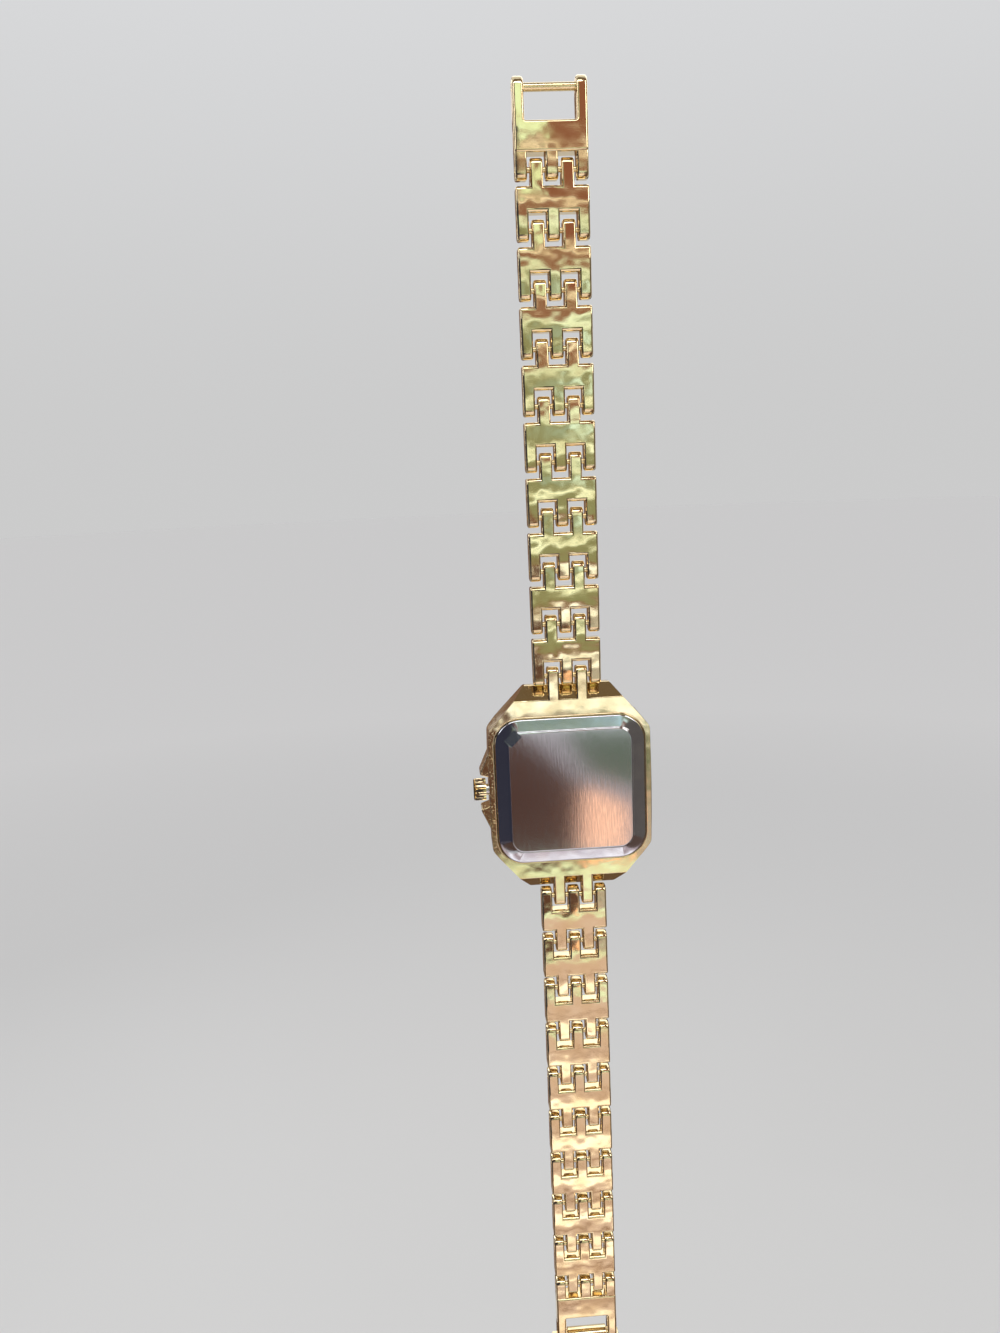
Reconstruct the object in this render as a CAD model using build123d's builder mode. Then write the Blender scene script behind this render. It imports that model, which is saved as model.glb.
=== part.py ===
from build123d import *
import os
from math import cos, radians, sin

# Ladies' square quartz watch on a two-into-three link bracelet, hanging open from its clasp bar.
# The origin is the middle of the case back's outer face. +Z runs up the strap to 12 o'clock,
# +Y runs through the case to the crystal, and the crown stands out towards -X.

# Fits between pieces
wall_fit = 0.05
grip_clearance = 0.01
running_clearance = 0.05
overrun = 1.0

# Bracelet
strap_width = 9.0
strap_thickness = 2.1
pitch = 6.95
links_per_side = 9
outer_prong_width = 1.5
middle_prong_width = 1.6
inner_prong_width = 1.6
prong_tip_reach = 1.25
prong_tip_round = 0.75
link_body_length = 3.1
link_edge_round = 0.18
pin_radius = 0.35
pin_end_recess = 0.08

# Case depths, measured from the case back's outer face towards the crystal
plateau_edge_depth = 0.14
caseback_rim_depth = 0.55
back_face_depth = 0.8
caseback_seat_drop = 0.25
gasket_groove_depth = 0.45
case_thickness = 4.5
ledge_thickness = 0.4
bezel_height = 1.65

# Case outline: half widths run towards 3 o'clock and half heights towards 12 o'clock
flank_half = 10.9
flank_bulge = 0.12
flank_end_drop = 2.7
shoulder_inset = 1.0
shoulder_drop = 1.4
lug_stand = 3.35
lug_pin_stand = 1.3
lug_end_inset = 5.1
lug_bevel = 1.8
lug_front_slope_gap = 0.5
lug_front_drop = 1.7
case_edge_bevel = 0.4
cavity_corner = 3.0
dial_ledge_width = 1.0

# Case back
caseback_inset = 0.9
caseback_corner = 3.5
caseback_slope_width = 1.65
plateau_corner = 3.0
caseback_sheet = 0.5
caseback_seat_width = 1.5
skirt_height = 0.9
skirt_wall = 0.45
notch_length = 2.4
notch_width = 1.1
notch_depth = 0.3
back_gasket_width = 0.45
back_gasket_thickness = 0.4

# Crown, its guards and its tube
crown_radius = 1.5
crown_length = 1.7
crown_gap = 0.4
crown_flutes = 16
flute_radius = 0.17
crown_cap_bevel = 0.25
crown_cavity_gap = 0.18
crown_cavity_depth = 1.15
crown_travel = 0.6
guard_side_gap = 0.45
guard_tip_reach = 1.25
guard_tip_width = 0.5
guard_length = 4.05
guard_thickness = 3.0
tube_radius = 0.8
tube_end_gap = 0.12
stem_radius = 0.35
stem_side_gap = 0.07
stem_groove_cut = 0.15
stem_groove_length = 0.3
stem_tail = 2.0

# Bezel, crystal and its gasket
bezel_inset = 1.1
bezel_corner = 3.6
bezel_bevel = 0.9
crystal_overlap = 0.45
crystal_corner = 2.6
crystal_thickness = 1.05
crystal_stand = 0.1
crystal_bevel = 0.2
crystal_gasket_wall = 0.3
crystal_gasket_drop = 0.2

# Dial, markers and hands
dial_thickness = 0.4
dial_hole_gap = 0.2
marker_height = 0.12
marker_edge_gap = 1.2
marker_length = 1.3
marker_width = 0.3
long_marker_length = 1.9
long_marker_width = 0.45
hour_hand_length = 3.7
minute_hand_length = 5.7
hand_thickness = 0.15
hand_width = 0.55
hand_tail = 1.1
hand_hub_wall = 0.35
hour_hand_angle = 305
minute_hand_angle = 60
hour_hand_lift = 0.25
minute_hand_lift = 0.6

# Movement
holder_side_wall = 2.0
holder_end_wall = 1.0
holder_back_gap = 0.5
movement_corner = 1.6
motion_room = 0.4
plate_thickness = 0.9
train_room = 1.55
centre_post_radius = 0.25
cannon_wall = 0.2
hour_tube_gap = 0.06
hour_tube_wall = 0.24
hour_wheel_radius = 2.2
hour_wheel_thickness = 0.2
wheel_gap = 0.07
bridge_thickness = 0.45
board_gap = 0.4
board_thickness = 0.3
battery_radius = 3.4
battery_height = 2.1
battery_side_gap = 0.5
battery_end_gap = 1.1
battery_pocket_gap = 0.2
clip_thickness = 0.2
clip_width = 1.2
coil_radius = 0.7
coil_length = 7.6
coil_flange_radius = 0.78
coil_flange_width = 0.5
coil_end_gap = 1.5
lever_thickness = 0.2
lever_height = 1.4
lever_inset = 1.9
lever_half_depth = 0.55
pillar_radius = 0.5

# Clasp: catch bracket, end frame, hook blade and fold-over cover
bracket_body_gap = 0.5
bracket_body_length = 3.55
bracket_window_length = 3.9
bracket_thickness = 2.4
arm_width = 1.35
bar_radius = 0.5
blade_sheet = 0.6
blade_knuckle_gap = 0.2
blade_length = 15.0
blade_side_gap = 0.1
cover_side_gap = 0.1
cover_wall = 0.5
cover_pin_radius = 0.4
cover_end_gap = 0.4
cover_room = 2.6
hook_width = 4.0
hook_wall = 0.5
hook_reach = 3.6
hook_lip = 1.5

# Places worked out from the sizes above: the bracelet
strap_depth = back_face_depth + strap_thickness / 2
prong_gap = (
    strap_width - 2 * outer_prong_width - 2 * inner_prong_width - middle_prong_width
) / 4
inner_prong_centre = middle_prong_width / 2 + prong_gap + inner_prong_width / 2
outer_prong_centre = (strap_width - outer_prong_width) / 2
top_row = links_per_side + 1

# The case outline and what is cut into it
flank_height = flank_half - flank_end_drop
flank_reach = flank_half + flank_bulge
shoulder_half = flank_half - shoulder_inset
shoulder_height = flank_half - shoulder_drop
lug_end_height = flank_half + lug_stand
lug_end_half = flank_half - lug_end_inset
lug_pin_height = lug_end_height + lug_pin_stand
caseback_side = 2 * (flank_half - caseback_inset)
plateau_side = caseback_side - 2 * caseback_slope_width
cavity_side = caseback_side - 2 * caseback_seat_width
dial_window_side = cavity_side - 2 * dial_ledge_width
window_corner = cavity_corner - dial_ledge_width
bezel_side = 2 * (flank_half - bezel_inset)
crystal_side = dial_window_side + 2 * crystal_overlap
lug_front_slope_start = bezel_side / 2 + lug_front_slope_gap

# The levels between the case back and the crystal
case_front_depth = back_face_depth + case_thickness
bezel_front_depth = case_front_depth + bezel_height
caseback_seat_depth = back_face_depth + caseback_seat_drop
gasket_seat_depth = caseback_seat_depth + gasket_groove_depth
ledge_depth = case_front_depth - ledge_thickness
dial_face_depth = ledge_depth - wall_fit
dial_back_depth = dial_face_depth - dial_thickness
plate_front_depth = dial_back_depth - motion_room
plate_back_depth = plate_front_depth - plate_thickness
movement_back_depth = plate_back_depth - train_room
holder_back_depth = movement_back_depth + holder_back_gap
board_depth = plate_back_depth - board_gap - board_thickness

# The crown, its guards, its tube and its stem
crown_depth = back_face_depth + case_thickness / 2
crown_foot = flank_reach + crown_gap
crown_end = crown_foot + crown_length
crown_cavity_radius = tube_radius + crown_cavity_gap
guard_root_height = crown_radius + guard_side_gap
guard_tip_height = guard_root_height + guard_tip_width
guard_foot_height = guard_root_height + guard_length
tube_bore_radius = stem_radius + stem_side_gap
tube_end = crown_foot + crown_cavity_depth - tube_end_gap
stem_groove_radius = stem_radius - stem_groove_cut

# The movement, the dial and the hands
movement_width = cavity_side - 2 * holder_side_wall
movement_height = cavity_side - 2 * holder_end_wall
battery_across = battery_side_gap + battery_radius - movement_width / 2
battery_up = battery_end_gap + battery_radius - movement_height / 2
coil_up = movement_height / 2 - coil_end_gap
lever_offset = movement_width / 2 - lever_inset
stem_inner_end = lever_offset - stem_tail
cannon_bore_radius = centre_post_radius + running_clearance
cannon_radius = cannon_bore_radius + cannon_wall
hour_tube_bore_radius = cannon_radius + hour_tube_gap
hour_tube_radius = hour_tube_bore_radius + hour_tube_wall
hour_hub_radius = hour_tube_radius + hand_hub_wall
minute_hub_radius = cannon_radius + hand_hub_wall
dial_hole_radius = hour_tube_radius + dial_hole_gap
marker_ring_half = dial_window_side / 2 - marker_edge_gap

# The clasp
bracket_body_start = prong_tip_reach + bracket_body_gap
bracket_bar_reach = bracket_body_start + bracket_body_length + bracket_window_length
arm_end_radius = bracket_thickness / 2
blade_knuckle_radius = bar_radius + blade_sheet
blade_knuckle_width = strap_width - 2 * arm_width - 2 * blade_knuckle_gap
cover_inner_width = strap_width + 2 * cover_side_gap
cover_ear_radius = blade_knuckle_radius
cover_top_gap = arm_end_radius + cover_end_gap


def row_height(row):
    """Height of a pin row above the middle of the case. Row 1 is at the lug."""
    return lug_pin_height + pitch * (row - 1)


def dial_side(depth):
    """A plane at this depth, seen from the dial: x to 3 o'clock, y to 12 o'clock."""
    return Plane(origin=(0, depth, 0), x_dir=(-1, 0, 0), z_dir=(0, 1, 0))


def towards_crown(reach):
    """A plane across the crown's axis, this far out, facing away from the case."""
    return Plane(origin=(-reach, crown_depth, 0), x_dir=(0, 1, 0), z_dir=(-1, 0, 0))


def save(part, name):
    """Labels a finished piece and writes it."""
    part.label = name
    export_step(part, f"parts/{name}.step")


def square_ring(depth, side, corner, height, wall):
    """A closed ring on a rounded square, with its wall inside the given side."""
    with BuildPart() as ring:
        with BuildSketch(dial_side(depth)):
            RectangleRounded(side, side, corner)
            inner = side - 2 * wall
            RectangleRounded(inner, inner, corner - wall, mode=Mode.SUBTRACT)
        extrude(amount=height)
    return ring.part


def round_bar(depth, height, radius, length):
    """A round bar across the strap, centred on it."""
    with BuildPart() as bar:
        with BuildSketch(Plane.YZ.offset(-length / 2)):
            with Locations((depth, height)):
                Circle(radius)
        extrude(amount=length)
    return bar.part


def prongs(centres, width, pin_height, body_height, bore):
    """Prongs that run from a body past a pin hole to a rounded tip."""
    outward = 1 if pin_height > body_height else -1
    tip = pin_height + outward * prong_tip_reach
    root = body_height - outward * prong_tip_round
    with BuildPart() as fingers:
        for centre in centres:
            with BuildSketch(Plane.YZ.offset(centre - width / 2)):
                with Locations((strap_depth, (tip + root) / 2)):
                    RectangleRounded(strap_thickness, abs(tip - root), prong_tip_round)
                with Locations((strap_depth, pin_height)):
                    Circle(bore, mode=Mode.SUBTRACT)
            extrude(amount=width)
    return fingers.part


def strap_link(row, side, bore):
    """One link: three prongs towards the case, a body, and two prongs away from it."""
    near_pin = side * row_height(row)
    far_pin = side * row_height(row + 1)
    middle = (near_pin + far_pin) / 2
    near_face = middle - side * link_body_length / 2
    far_face = middle + side * link_body_length / 2
    with BuildPart() as link:
        with BuildSketch(Plane.YZ.offset(-strap_width / 2)):
            with Locations((strap_depth, middle)):
                Rectangle(strap_thickness, link_body_length)
        extrude(amount=strap_width)
        add(prongs([-outer_prong_centre, outer_prong_centre], outer_prong_width, near_pin, near_face, bore))
        add(prongs([0], middle_prong_width, near_pin, near_face, bore))
        inner_centres = [-inner_prong_centre, inner_prong_centre]
        add(prongs(inner_centres, inner_prong_width, far_pin, far_face, bore))
        long_edges = link.edges().filter_by(GeomType.LINE).filter_by(Axis.Z)
        fillet(long_edges, radius=link_edge_round)
    return link.part


def strap_pins(rows, side):
    """Plain pins in the given rows, each a little shorter than the strap is wide."""
    length = strap_width - 2 * pin_end_recess
    with BuildPart() as pins:
        for row in rows:
            add(round_bar(strap_depth, side * row_height(row), pin_radius, length))
    return pins.part


# The bracelet's links and pins. Every second link grips the pins at both of its ends.
os.makedirs("parts", exist_ok=True)
grip_bore = pin_radius + grip_clearance
running_bore = pin_radius + running_clearance
for strap, side in (("upper", 1), ("lower", -1)):
    for number in range(1, links_per_side + 1):
        grips = number % 2 == 0
        bore = grip_bore if grips else running_bore
        save(strap_link(number, side, bore), f"{strap}_link_{number}")
        if grips:
            save(strap_pins([number, number + 1], side), f"{strap}_pins_{number}")

with BuildPart() as case_pins:
    add(strap_pins([1], 1))
    add(strap_pins([1], -1))
save(case_pins.part, "case_pins")
save(strap_pins([top_row], 1), "bracket_pin")
save(strap_pins([top_row], -1), "end_frame_pin")


# Case middle: a square slab with cut corners, bevelled lugs, strap prongs and crown guards
def lug_wedge(near_depth, near_height, far_depth, far_height):
    """The corner that is cut off a lug, from one face of the slab to the lug's end."""
    with BuildPart() as wedge:
        for side in (1, -1):
            with BuildSketch(Plane.YZ.offset(-flank_reach)):
                with BuildLine():
                    Polyline(
                        (near_depth, side * near_height),
                        (far_depth, side * far_height),
                        (near_depth, side * far_height),
                        close=True,
                    )
                make_face()
            extrude(amount=2 * flank_reach)
    return wedge.part


with BuildPart() as case_middle:
    with BuildSketch(dial_side(back_face_depth)):
        with BuildLine():
            Polyline(
                (0, lug_end_height),
                (lug_end_half, lug_end_height),
                (shoulder_half, shoulder_height),
                (flank_half, flank_height),
            )
            ThreePointArc(
                (flank_half, flank_height), (flank_reach, 0), (flank_half, -flank_height)
            )
            Polyline(
                (flank_half, -flank_height),
                (shoulder_half, -shoulder_height),
                (lug_end_half, -lug_end_height),
                (0, -lug_end_height),
            )
            mirror(about=Plane.YZ)
        make_face()
    extrude(amount=case_thickness)
    flank_edges = case_middle.edges().group_by(Axis.Y)[0].filter_by(
        lambda edge: abs(edge.center().Z) < shoulder_height
    )
    chamfer(flank_edges, case_edge_bevel)
    front_edges = case_middle.edges().group_by(Axis.Y)[-1].filter_by(
        lambda edge: abs(edge.center().Z) < shoulder_height
    )
    chamfer(front_edges, case_edge_bevel)
    add(
        lug_wedge(
            back_face_depth,
            lug_end_height - lug_bevel,
            back_face_depth + lug_bevel,
            lug_end_height,
        ),
        mode=Mode.SUBTRACT,
    )
    add(
        lug_wedge(
            case_front_depth,
            lug_front_slope_start,
            case_front_depth - lug_front_drop,
            lug_end_height,
        ),
        mode=Mode.SUBTRACT,
    )
    for side in (1, -1):
        prong_root = side * (lug_end_height - 2 * lug_bevel)
        lug_centres = [-inner_prong_centre, inner_prong_centre]
        lug_pin = side * lug_pin_height
        add(prongs(lug_centres, inner_prong_width, lug_pin, prong_root, grip_bore))
    for side in (1, -1):
        with BuildSketch(dial_side(crown_depth - guard_thickness / 2)):
            with BuildLine():
                Polyline(
                    (flank_reach - cavity_corner / 2, side * guard_foot_height),
                    (flank_reach - case_edge_bevel, side * guard_foot_height),
                    (flank_reach + guard_tip_reach, side * guard_tip_height),
                    (flank_reach - case_edge_bevel, side * guard_root_height),
                    (flank_reach - cavity_corner / 2, side * guard_root_height),
                    close=True,
                )
            make_face()
        extrude(amount=guard_thickness)
    with BuildSketch(dial_side(back_face_depth)):
        recess = caseback_side + 2 * wall_fit
        RectangleRounded(recess, recess, caseback_corner + wall_fit)
    extrude(amount=caseback_seat_depth - back_face_depth, mode=Mode.SUBTRACT)
    with BuildSketch(dial_side(caseback_seat_depth)):
        gasket_recess = cavity_side + 2 * back_gasket_width + 2 * wall_fit
        RectangleRounded(gasket_recess, gasket_recess, cavity_corner + back_gasket_width)
    extrude(amount=gasket_seat_depth - caseback_seat_depth, mode=Mode.SUBTRACT)
    with BuildSketch(dial_side(back_face_depth)):
        RectangleRounded(cavity_side, cavity_side, cavity_corner)
    extrude(amount=ledge_depth - back_face_depth, mode=Mode.SUBTRACT)
    with BuildSketch(dial_side(back_face_depth)):
        RectangleRounded(dial_window_side, dial_window_side, window_corner)
    extrude(amount=case_thickness, mode=Mode.SUBTRACT)
    with BuildSketch(towards_crown(cavity_side / 2 - overrun)):
        Circle(tube_radius + grip_clearance)
    extrude(amount=flank_reach - cavity_side / 2 + 2 * overrun, mode=Mode.SUBTRACT)
save(case_middle.part, "case_middle")


# Case back: a pressed steel lid with a sloped border, a raised middle and a snap-in skirt
with BuildPart() as caseback:
    with BuildSketch(dial_side(plateau_edge_depth)):
        RectangleRounded(plateau_side, plateau_side, plateau_corner)
    with BuildSketch(dial_side(caseback_rim_depth)):
        RectangleRounded(caseback_side, caseback_side, caseback_corner)
    loft()
    with BuildSketch(dial_side(caseback_rim_depth)):
        RectangleRounded(caseback_side, caseback_side, caseback_corner)
    extrude(amount=caseback_seat_depth - caseback_rim_depth)
    plateau_top = plateau_side - plateau_edge_depth
    with BuildSketch(dial_side(0)):
        RectangleRounded(plateau_top, plateau_top, plateau_corner)
    extrude(amount=caseback_rim_depth)
    skirt_side = cavity_side - 2 * wall_fit
    with BuildSketch(dial_side(caseback_seat_depth)):
        RectangleRounded(skirt_side, skirt_side, cavity_corner - wall_fit)
    extrude(amount=skirt_height)
    hollow_side = skirt_side - 2 * skirt_wall
    with BuildSketch(dial_side(caseback_sheet)):
        RectangleRounded(hollow_side, hollow_side, cavity_corner - skirt_wall)
    extrude(amount=caseback_seat_depth + skirt_height - caseback_sheet, mode=Mode.SUBTRACT)
    notch_place = plateau_side / 2 - plateau_corner * (1 - cos(radians(45)))
    with BuildSketch(dial_side(0)):
        with Locations(Location((notch_place, notch_place, 0), (0, 0, 45))):
            Rectangle(notch_width, notch_length)
    extrude(amount=notch_depth, mode=Mode.SUBTRACT)
save(caseback.part, "caseback")

gasket_side = cavity_side + 2 * back_gasket_width
gasket_corner = cavity_corner + back_gasket_width
gasket_start = gasket_seat_depth - back_gasket_thickness
save(
    square_ring(gasket_start, gasket_side, gasket_corner, back_gasket_thickness, back_gasket_width),
    "caseback_gasket",
)


# Bezel, crystal and the gasket between them
crystal_seat_depth = bezel_front_depth + crystal_stand - crystal_thickness
crystal_gasket_side = crystal_side + 2 * crystal_gasket_wall + 2 * grip_clearance
bezel_seat_side = crystal_gasket_side + 2 * grip_clearance
bezel_seat_corner = crystal_corner + crystal_gasket_wall + 2 * grip_clearance
with BuildPart() as bezel:
    with BuildSketch(dial_side(case_front_depth)):
        RectangleRounded(bezel_side, bezel_side, bezel_corner)
    extrude(amount=bezel_front_depth - case_front_depth)
    front_loop = bezel.faces().sort_by(Axis.Y)[-1].edges()
    chamfer(front_loop, bezel_bevel)
    with BuildSketch(dial_side(case_front_depth)):
        RectangleRounded(dial_window_side, dial_window_side, window_corner)
    extrude(amount=bezel_front_depth - case_front_depth, mode=Mode.SUBTRACT)
    with BuildSketch(dial_side(crystal_seat_depth)):
        RectangleRounded(bezel_seat_side, bezel_seat_side, bezel_seat_corner)
    extrude(amount=bezel_front_depth - crystal_seat_depth, mode=Mode.SUBTRACT)
save(bezel.part, "bezel")

save(
    square_ring(
        crystal_seat_depth,
        crystal_gasket_side,
        crystal_corner + crystal_gasket_wall,
        bezel_front_depth - crystal_seat_depth - crystal_gasket_drop,
        crystal_gasket_wall,
    ),
    "crystal_gasket",
)

with BuildPart() as crystal:
    with BuildSketch(dial_side(crystal_seat_depth)):
        RectangleRounded(crystal_side, crystal_side, crystal_corner)
    extrude(amount=crystal_thickness)
    chamfer(crystal.faces().sort_by(Axis.Y)[-1].edges(), crystal_bevel)
save(crystal.part, "crystal")


# Dial, its applied hour markers, and the hands
with BuildPart() as dial:
    dial_side_length = cavity_side - 4 * wall_fit
    with BuildSketch(dial_side(dial_back_depth)):
        RectangleRounded(dial_side_length, dial_side_length, cavity_corner - 2 * wall_fit)
        Circle(dial_hole_radius, mode=Mode.SUBTRACT)
    extrude(amount=dial_thickness)
save(dial.part, "dial")

with BuildPart() as hour_markers:
    for hour in range(12):
        angle = hour * 30
        across, up = sin(radians(angle)), cos(radians(angle))
        quarter = hour % 3 == 0
        length = long_marker_length if quarter else marker_length
        width = long_marker_width if quarter else marker_width
        reach = (marker_ring_half - length / 2) / max(abs(across), abs(up))
        with BuildSketch(dial_side(dial_face_depth)):
            with Locations(Location((reach * across, reach * up, 0), (0, 0, -angle))):
                Rectangle(width, length)
        extrude(amount=marker_height)
save(hour_markers.part, "hour_markers")


def hand(angle, length, lift, hub_radius, bore):
    """A tapered hand on a round hub, turned clockwise from 12 o'clock."""
    with BuildPart() as pointer:
        with BuildSketch(dial_side(dial_face_depth + lift)):
            Polygon(
                (-hand_width / 2, 0),
                (-hand_width / 4, -hub_radius - hand_tail),
                (hand_width / 4, -hub_radius - hand_tail),
                (hand_width / 2, 0),
                (hand_width / 4, length),
                (-hand_width / 4, length),
                rotation=-angle,
                align=None,
            )
            Circle(hub_radius)
            Circle(bore, mode=Mode.SUBTRACT)
        extrude(amount=hand_thickness)
    return pointer.part


hour_bore = hour_tube_radius + grip_clearance
minute_bore = cannon_radius + grip_clearance
save(hand(hour_hand_angle, hour_hand_length, hour_hand_lift, hour_hub_radius, hour_bore), "hour_hand")
save(
    hand(minute_hand_angle, minute_hand_length, minute_hand_lift, minute_hub_radius, minute_bore),
    "minute_hand",
)


def tube(start_depth, end_depth, radius, bore):
    """A tube on the hands' axis."""
    with BuildPart() as sleeve:
        with BuildSketch(dial_side(start_depth)):
            Circle(radius)
            Circle(bore, mode=Mode.SUBTRACT)
        extrude(amount=end_depth - start_depth)
    return sleeve.part


hour_tube_start = plate_front_depth + wheel_gap
hour_tube_end = dial_face_depth + hour_hand_lift + hand_thickness
with BuildPart() as hour_wheel:
    add(tube(hour_tube_start, hour_tube_end, hour_tube_radius, hour_tube_bore_radius))
    add(
        tube(
            hour_tube_start,
            hour_tube_start + hour_wheel_thickness,
            hour_wheel_radius,
            hour_tube_bore_radius,
        )
    )
save(hour_wheel.part, "hour_wheel")

cannon_end = dial_face_depth + minute_hand_lift + hand_thickness
save(tube(hour_tube_start, cannon_end, cannon_radius, cannon_bore_radius), "cannon_pinion")


# Movement: a plastic holder, a main plate, a bridge, the circuit, the coil and the battery
with BuildPart() as movement_holder:
    holder_side = cavity_side - 4 * wall_fit
    holder_end = dial_back_depth - wall_fit
    with BuildSketch(dial_side(holder_back_depth)):
        RectangleRounded(holder_side, holder_side, cavity_corner - 2 * wall_fit)
        RectangleRounded(
            movement_width + 2 * wall_fit,
            movement_height + 2 * wall_fit,
            movement_corner + wall_fit,
            mode=Mode.SUBTRACT,
        )
    extrude(amount=holder_end - holder_back_depth)
    with BuildSketch(towards_crown(0)):
        Circle(tube_radius + running_clearance)
    extrude(amount=cavity_side, mode=Mode.SUBTRACT)
save(movement_holder.part, "movement_holder")

lever_pocket_start = lever_offset - stem_groove_length
lever_pocket_length = crown_travel + 3 * stem_groove_length
pillar_places = [
    (-movement_width / 2 + 2 * pillar_radius, movement_height / 2 - 6 * pillar_radius),
    (movement_width / 2 - 2 * pillar_radius, movement_height / 2 - 6 * pillar_radius),
    (movement_width / 2 - 2 * pillar_radius, -movement_height / 2 + 2 * pillar_radius),
]
with BuildPart() as movement_plate:
    with BuildSketch(dial_side(plate_back_depth)):
        RectangleRounded(movement_width, movement_height, movement_corner)
    extrude(amount=plate_front_depth - plate_back_depth)
    with BuildSketch(dial_side(movement_back_depth + bridge_thickness)):
        with Locations(pillar_places):
            Circle(pillar_radius)
    extrude(amount=plate_back_depth - movement_back_depth - bridge_thickness)
    with BuildSketch(dial_side(plate_back_depth)):
        Circle(centre_post_radius)
    extrude(amount=cannon_end - hand_thickness - plate_back_depth)
    with BuildSketch(towards_crown(stem_inner_end - 2 * running_clearance)):
        Circle(stem_radius + running_clearance)
    extrude(amount=movement_width, mode=Mode.SUBTRACT)
    with BuildSketch(dial_side(crown_depth)):
        with Locations((lever_pocket_start + lever_pocket_length / 2, 0)):
            Rectangle(lever_pocket_length, lever_height + 2 * lever_half_depth)
    extrude(amount=lever_half_depth + running_clearance, mode=Mode.SUBTRACT)
save(movement_plate.part, "movement_plate")

battery_place = (battery_across, battery_up)
battery_back_depth = plate_back_depth - battery_height
with BuildPart() as train_bridge:
    with BuildSketch(dial_side(movement_back_depth)):
        bridge_height = movement_height - 2 * (movement_height / 2 - coil_up) - 2 * coil_radius
        RectangleRounded(movement_width, bridge_height, movement_corner)
        with Locations(battery_place):
            Circle(battery_radius + battery_pocket_gap, mode=Mode.SUBTRACT)
        with Locations((-movement_width / 2, -movement_height / 2)):
            corner_cut = movement_width + 2 * battery_across
            Rectangle(corner_cut, corner_cut, mode=Mode.SUBTRACT)
    extrude(amount=bridge_thickness)
save(train_bridge.part, "train_bridge")

with BuildPart() as circuit_board:
    with BuildSketch(dial_side(board_depth)):
        with Locations((0, movement_height / 4)):
            Rectangle(movement_width - 6 * pillar_radius, movement_height / 6)
    extrude(amount=board_thickness)
save(circuit_board.part, "circuit_board")

with BuildPart() as coil:
    coil_depth = plate_back_depth - coil_flange_radius
    coil_end = coil_length / 2
    flange_starts = (-coil_end, coil_end - coil_flange_width)
    with BuildSketch(Plane.YZ.offset(-coil_end)):
        with Locations((coil_depth, coil_up)):
            Circle(coil_radius)
    extrude(amount=coil_length)
    for start in flange_starts:
        with BuildSketch(Plane.YZ.offset(start)):
            with Locations((coil_depth, coil_up)):
                Circle(coil_flange_radius)
        extrude(amount=coil_flange_width)
save(coil.part, "coil")

with BuildPart() as battery:
    with BuildSketch(dial_side(battery_back_depth)):
        with Locations(battery_place):
            Circle(battery_radius)
    extrude(amount=battery_height)
    chamfer(battery.faces().sort_by(Axis.Y)[0].edges(), clip_thickness)
save(battery.part, "battery")

with BuildPart() as battery_clip:
    clip_reach = movement_width / 2 + battery_across
    clip_length = clip_reach + battery_radius / 2
    with BuildSketch(dial_side(battery_back_depth - clip_thickness)):
        with Locations((battery_across + clip_length / 2, battery_up)):
            Rectangle(clip_length, clip_width)
    extrude(amount=clip_thickness)
    clip_foot = battery_across + clip_length - clip_width
    with BuildSketch(dial_side(battery_back_depth - clip_thickness)):
        with Locations((clip_foot + clip_width / 2, battery_up)):
            Rectangle(clip_width, clip_width)
    extrude(amount=movement_back_depth - battery_back_depth + clip_thickness)
save(battery_clip.part, "battery_clip")


# Setting lever: a small fork that sits in the stem's groove and slides with the crown
with BuildPart() as setting_lever:
    with BuildSketch(towards_crown(lever_offset)):
        with Locations((0, lever_height / 4)):
            Rectangle(2 * lever_half_depth, lever_height)
        Circle(stem_groove_radius + running_clearance, mode=Mode.SUBTRACT)
        with Locations((0, -lever_height / 2)):
            fork = 2 * (stem_groove_radius + running_clearance)
            Rectangle(fork, lever_height, mode=Mode.SUBTRACT)
    extrude(amount=lever_thickness)
save(setting_lever.part, "setting_lever")

groove_start = lever_offset - (stem_groove_length - lever_thickness) / 2
stem_end = crown_end - crown_cap_bevel
with BuildPart() as stem:
    with BuildSketch(towards_crown(stem_inner_end)):
        Circle(stem_radius)
    extrude(amount=stem_end - stem_inner_end)
    with BuildSketch(towards_crown(groove_start)):
        Circle(stem_radius)
        Circle(stem_groove_radius, mode=Mode.SUBTRACT)
    extrude(amount=stem_groove_length, mode=Mode.SUBTRACT)
save(stem.part, "stem")

tube_start = cavity_side / 2
with BuildPart() as crown_tube:
    with BuildSketch(towards_crown(tube_start)):
        Circle(tube_radius)
        Circle(tube_bore_radius, mode=Mode.SUBTRACT)
    extrude(amount=tube_end - tube_start)
save(crown_tube.part, "crown_tube")

with BuildPart() as crown:
    with BuildSketch(towards_crown(crown_foot)):
        Circle(crown_radius)
    extrude(amount=crown_length)
    chamfer(crown.faces().sort_by(Axis.X)[0].edges(), crown_cap_bevel)
    with BuildSketch(towards_crown(crown_foot)):
        with PolarLocations(crown_radius + flute_radius / 3, crown_flutes):
            Circle(flute_radius)
    extrude(amount=crown_length, mode=Mode.SUBTRACT)
    with BuildSketch(towards_crown(crown_foot)):
        Circle(crown_cavity_radius)
    extrude(amount=crown_cavity_depth, mode=Mode.SUBTRACT)
    with BuildSketch(towards_crown(crown_foot)):
        Circle(stem_radius + grip_clearance)
    extrude(amount=stem_end - crown_foot, mode=Mode.SUBTRACT)
save(crown.part, "crown")

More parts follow.
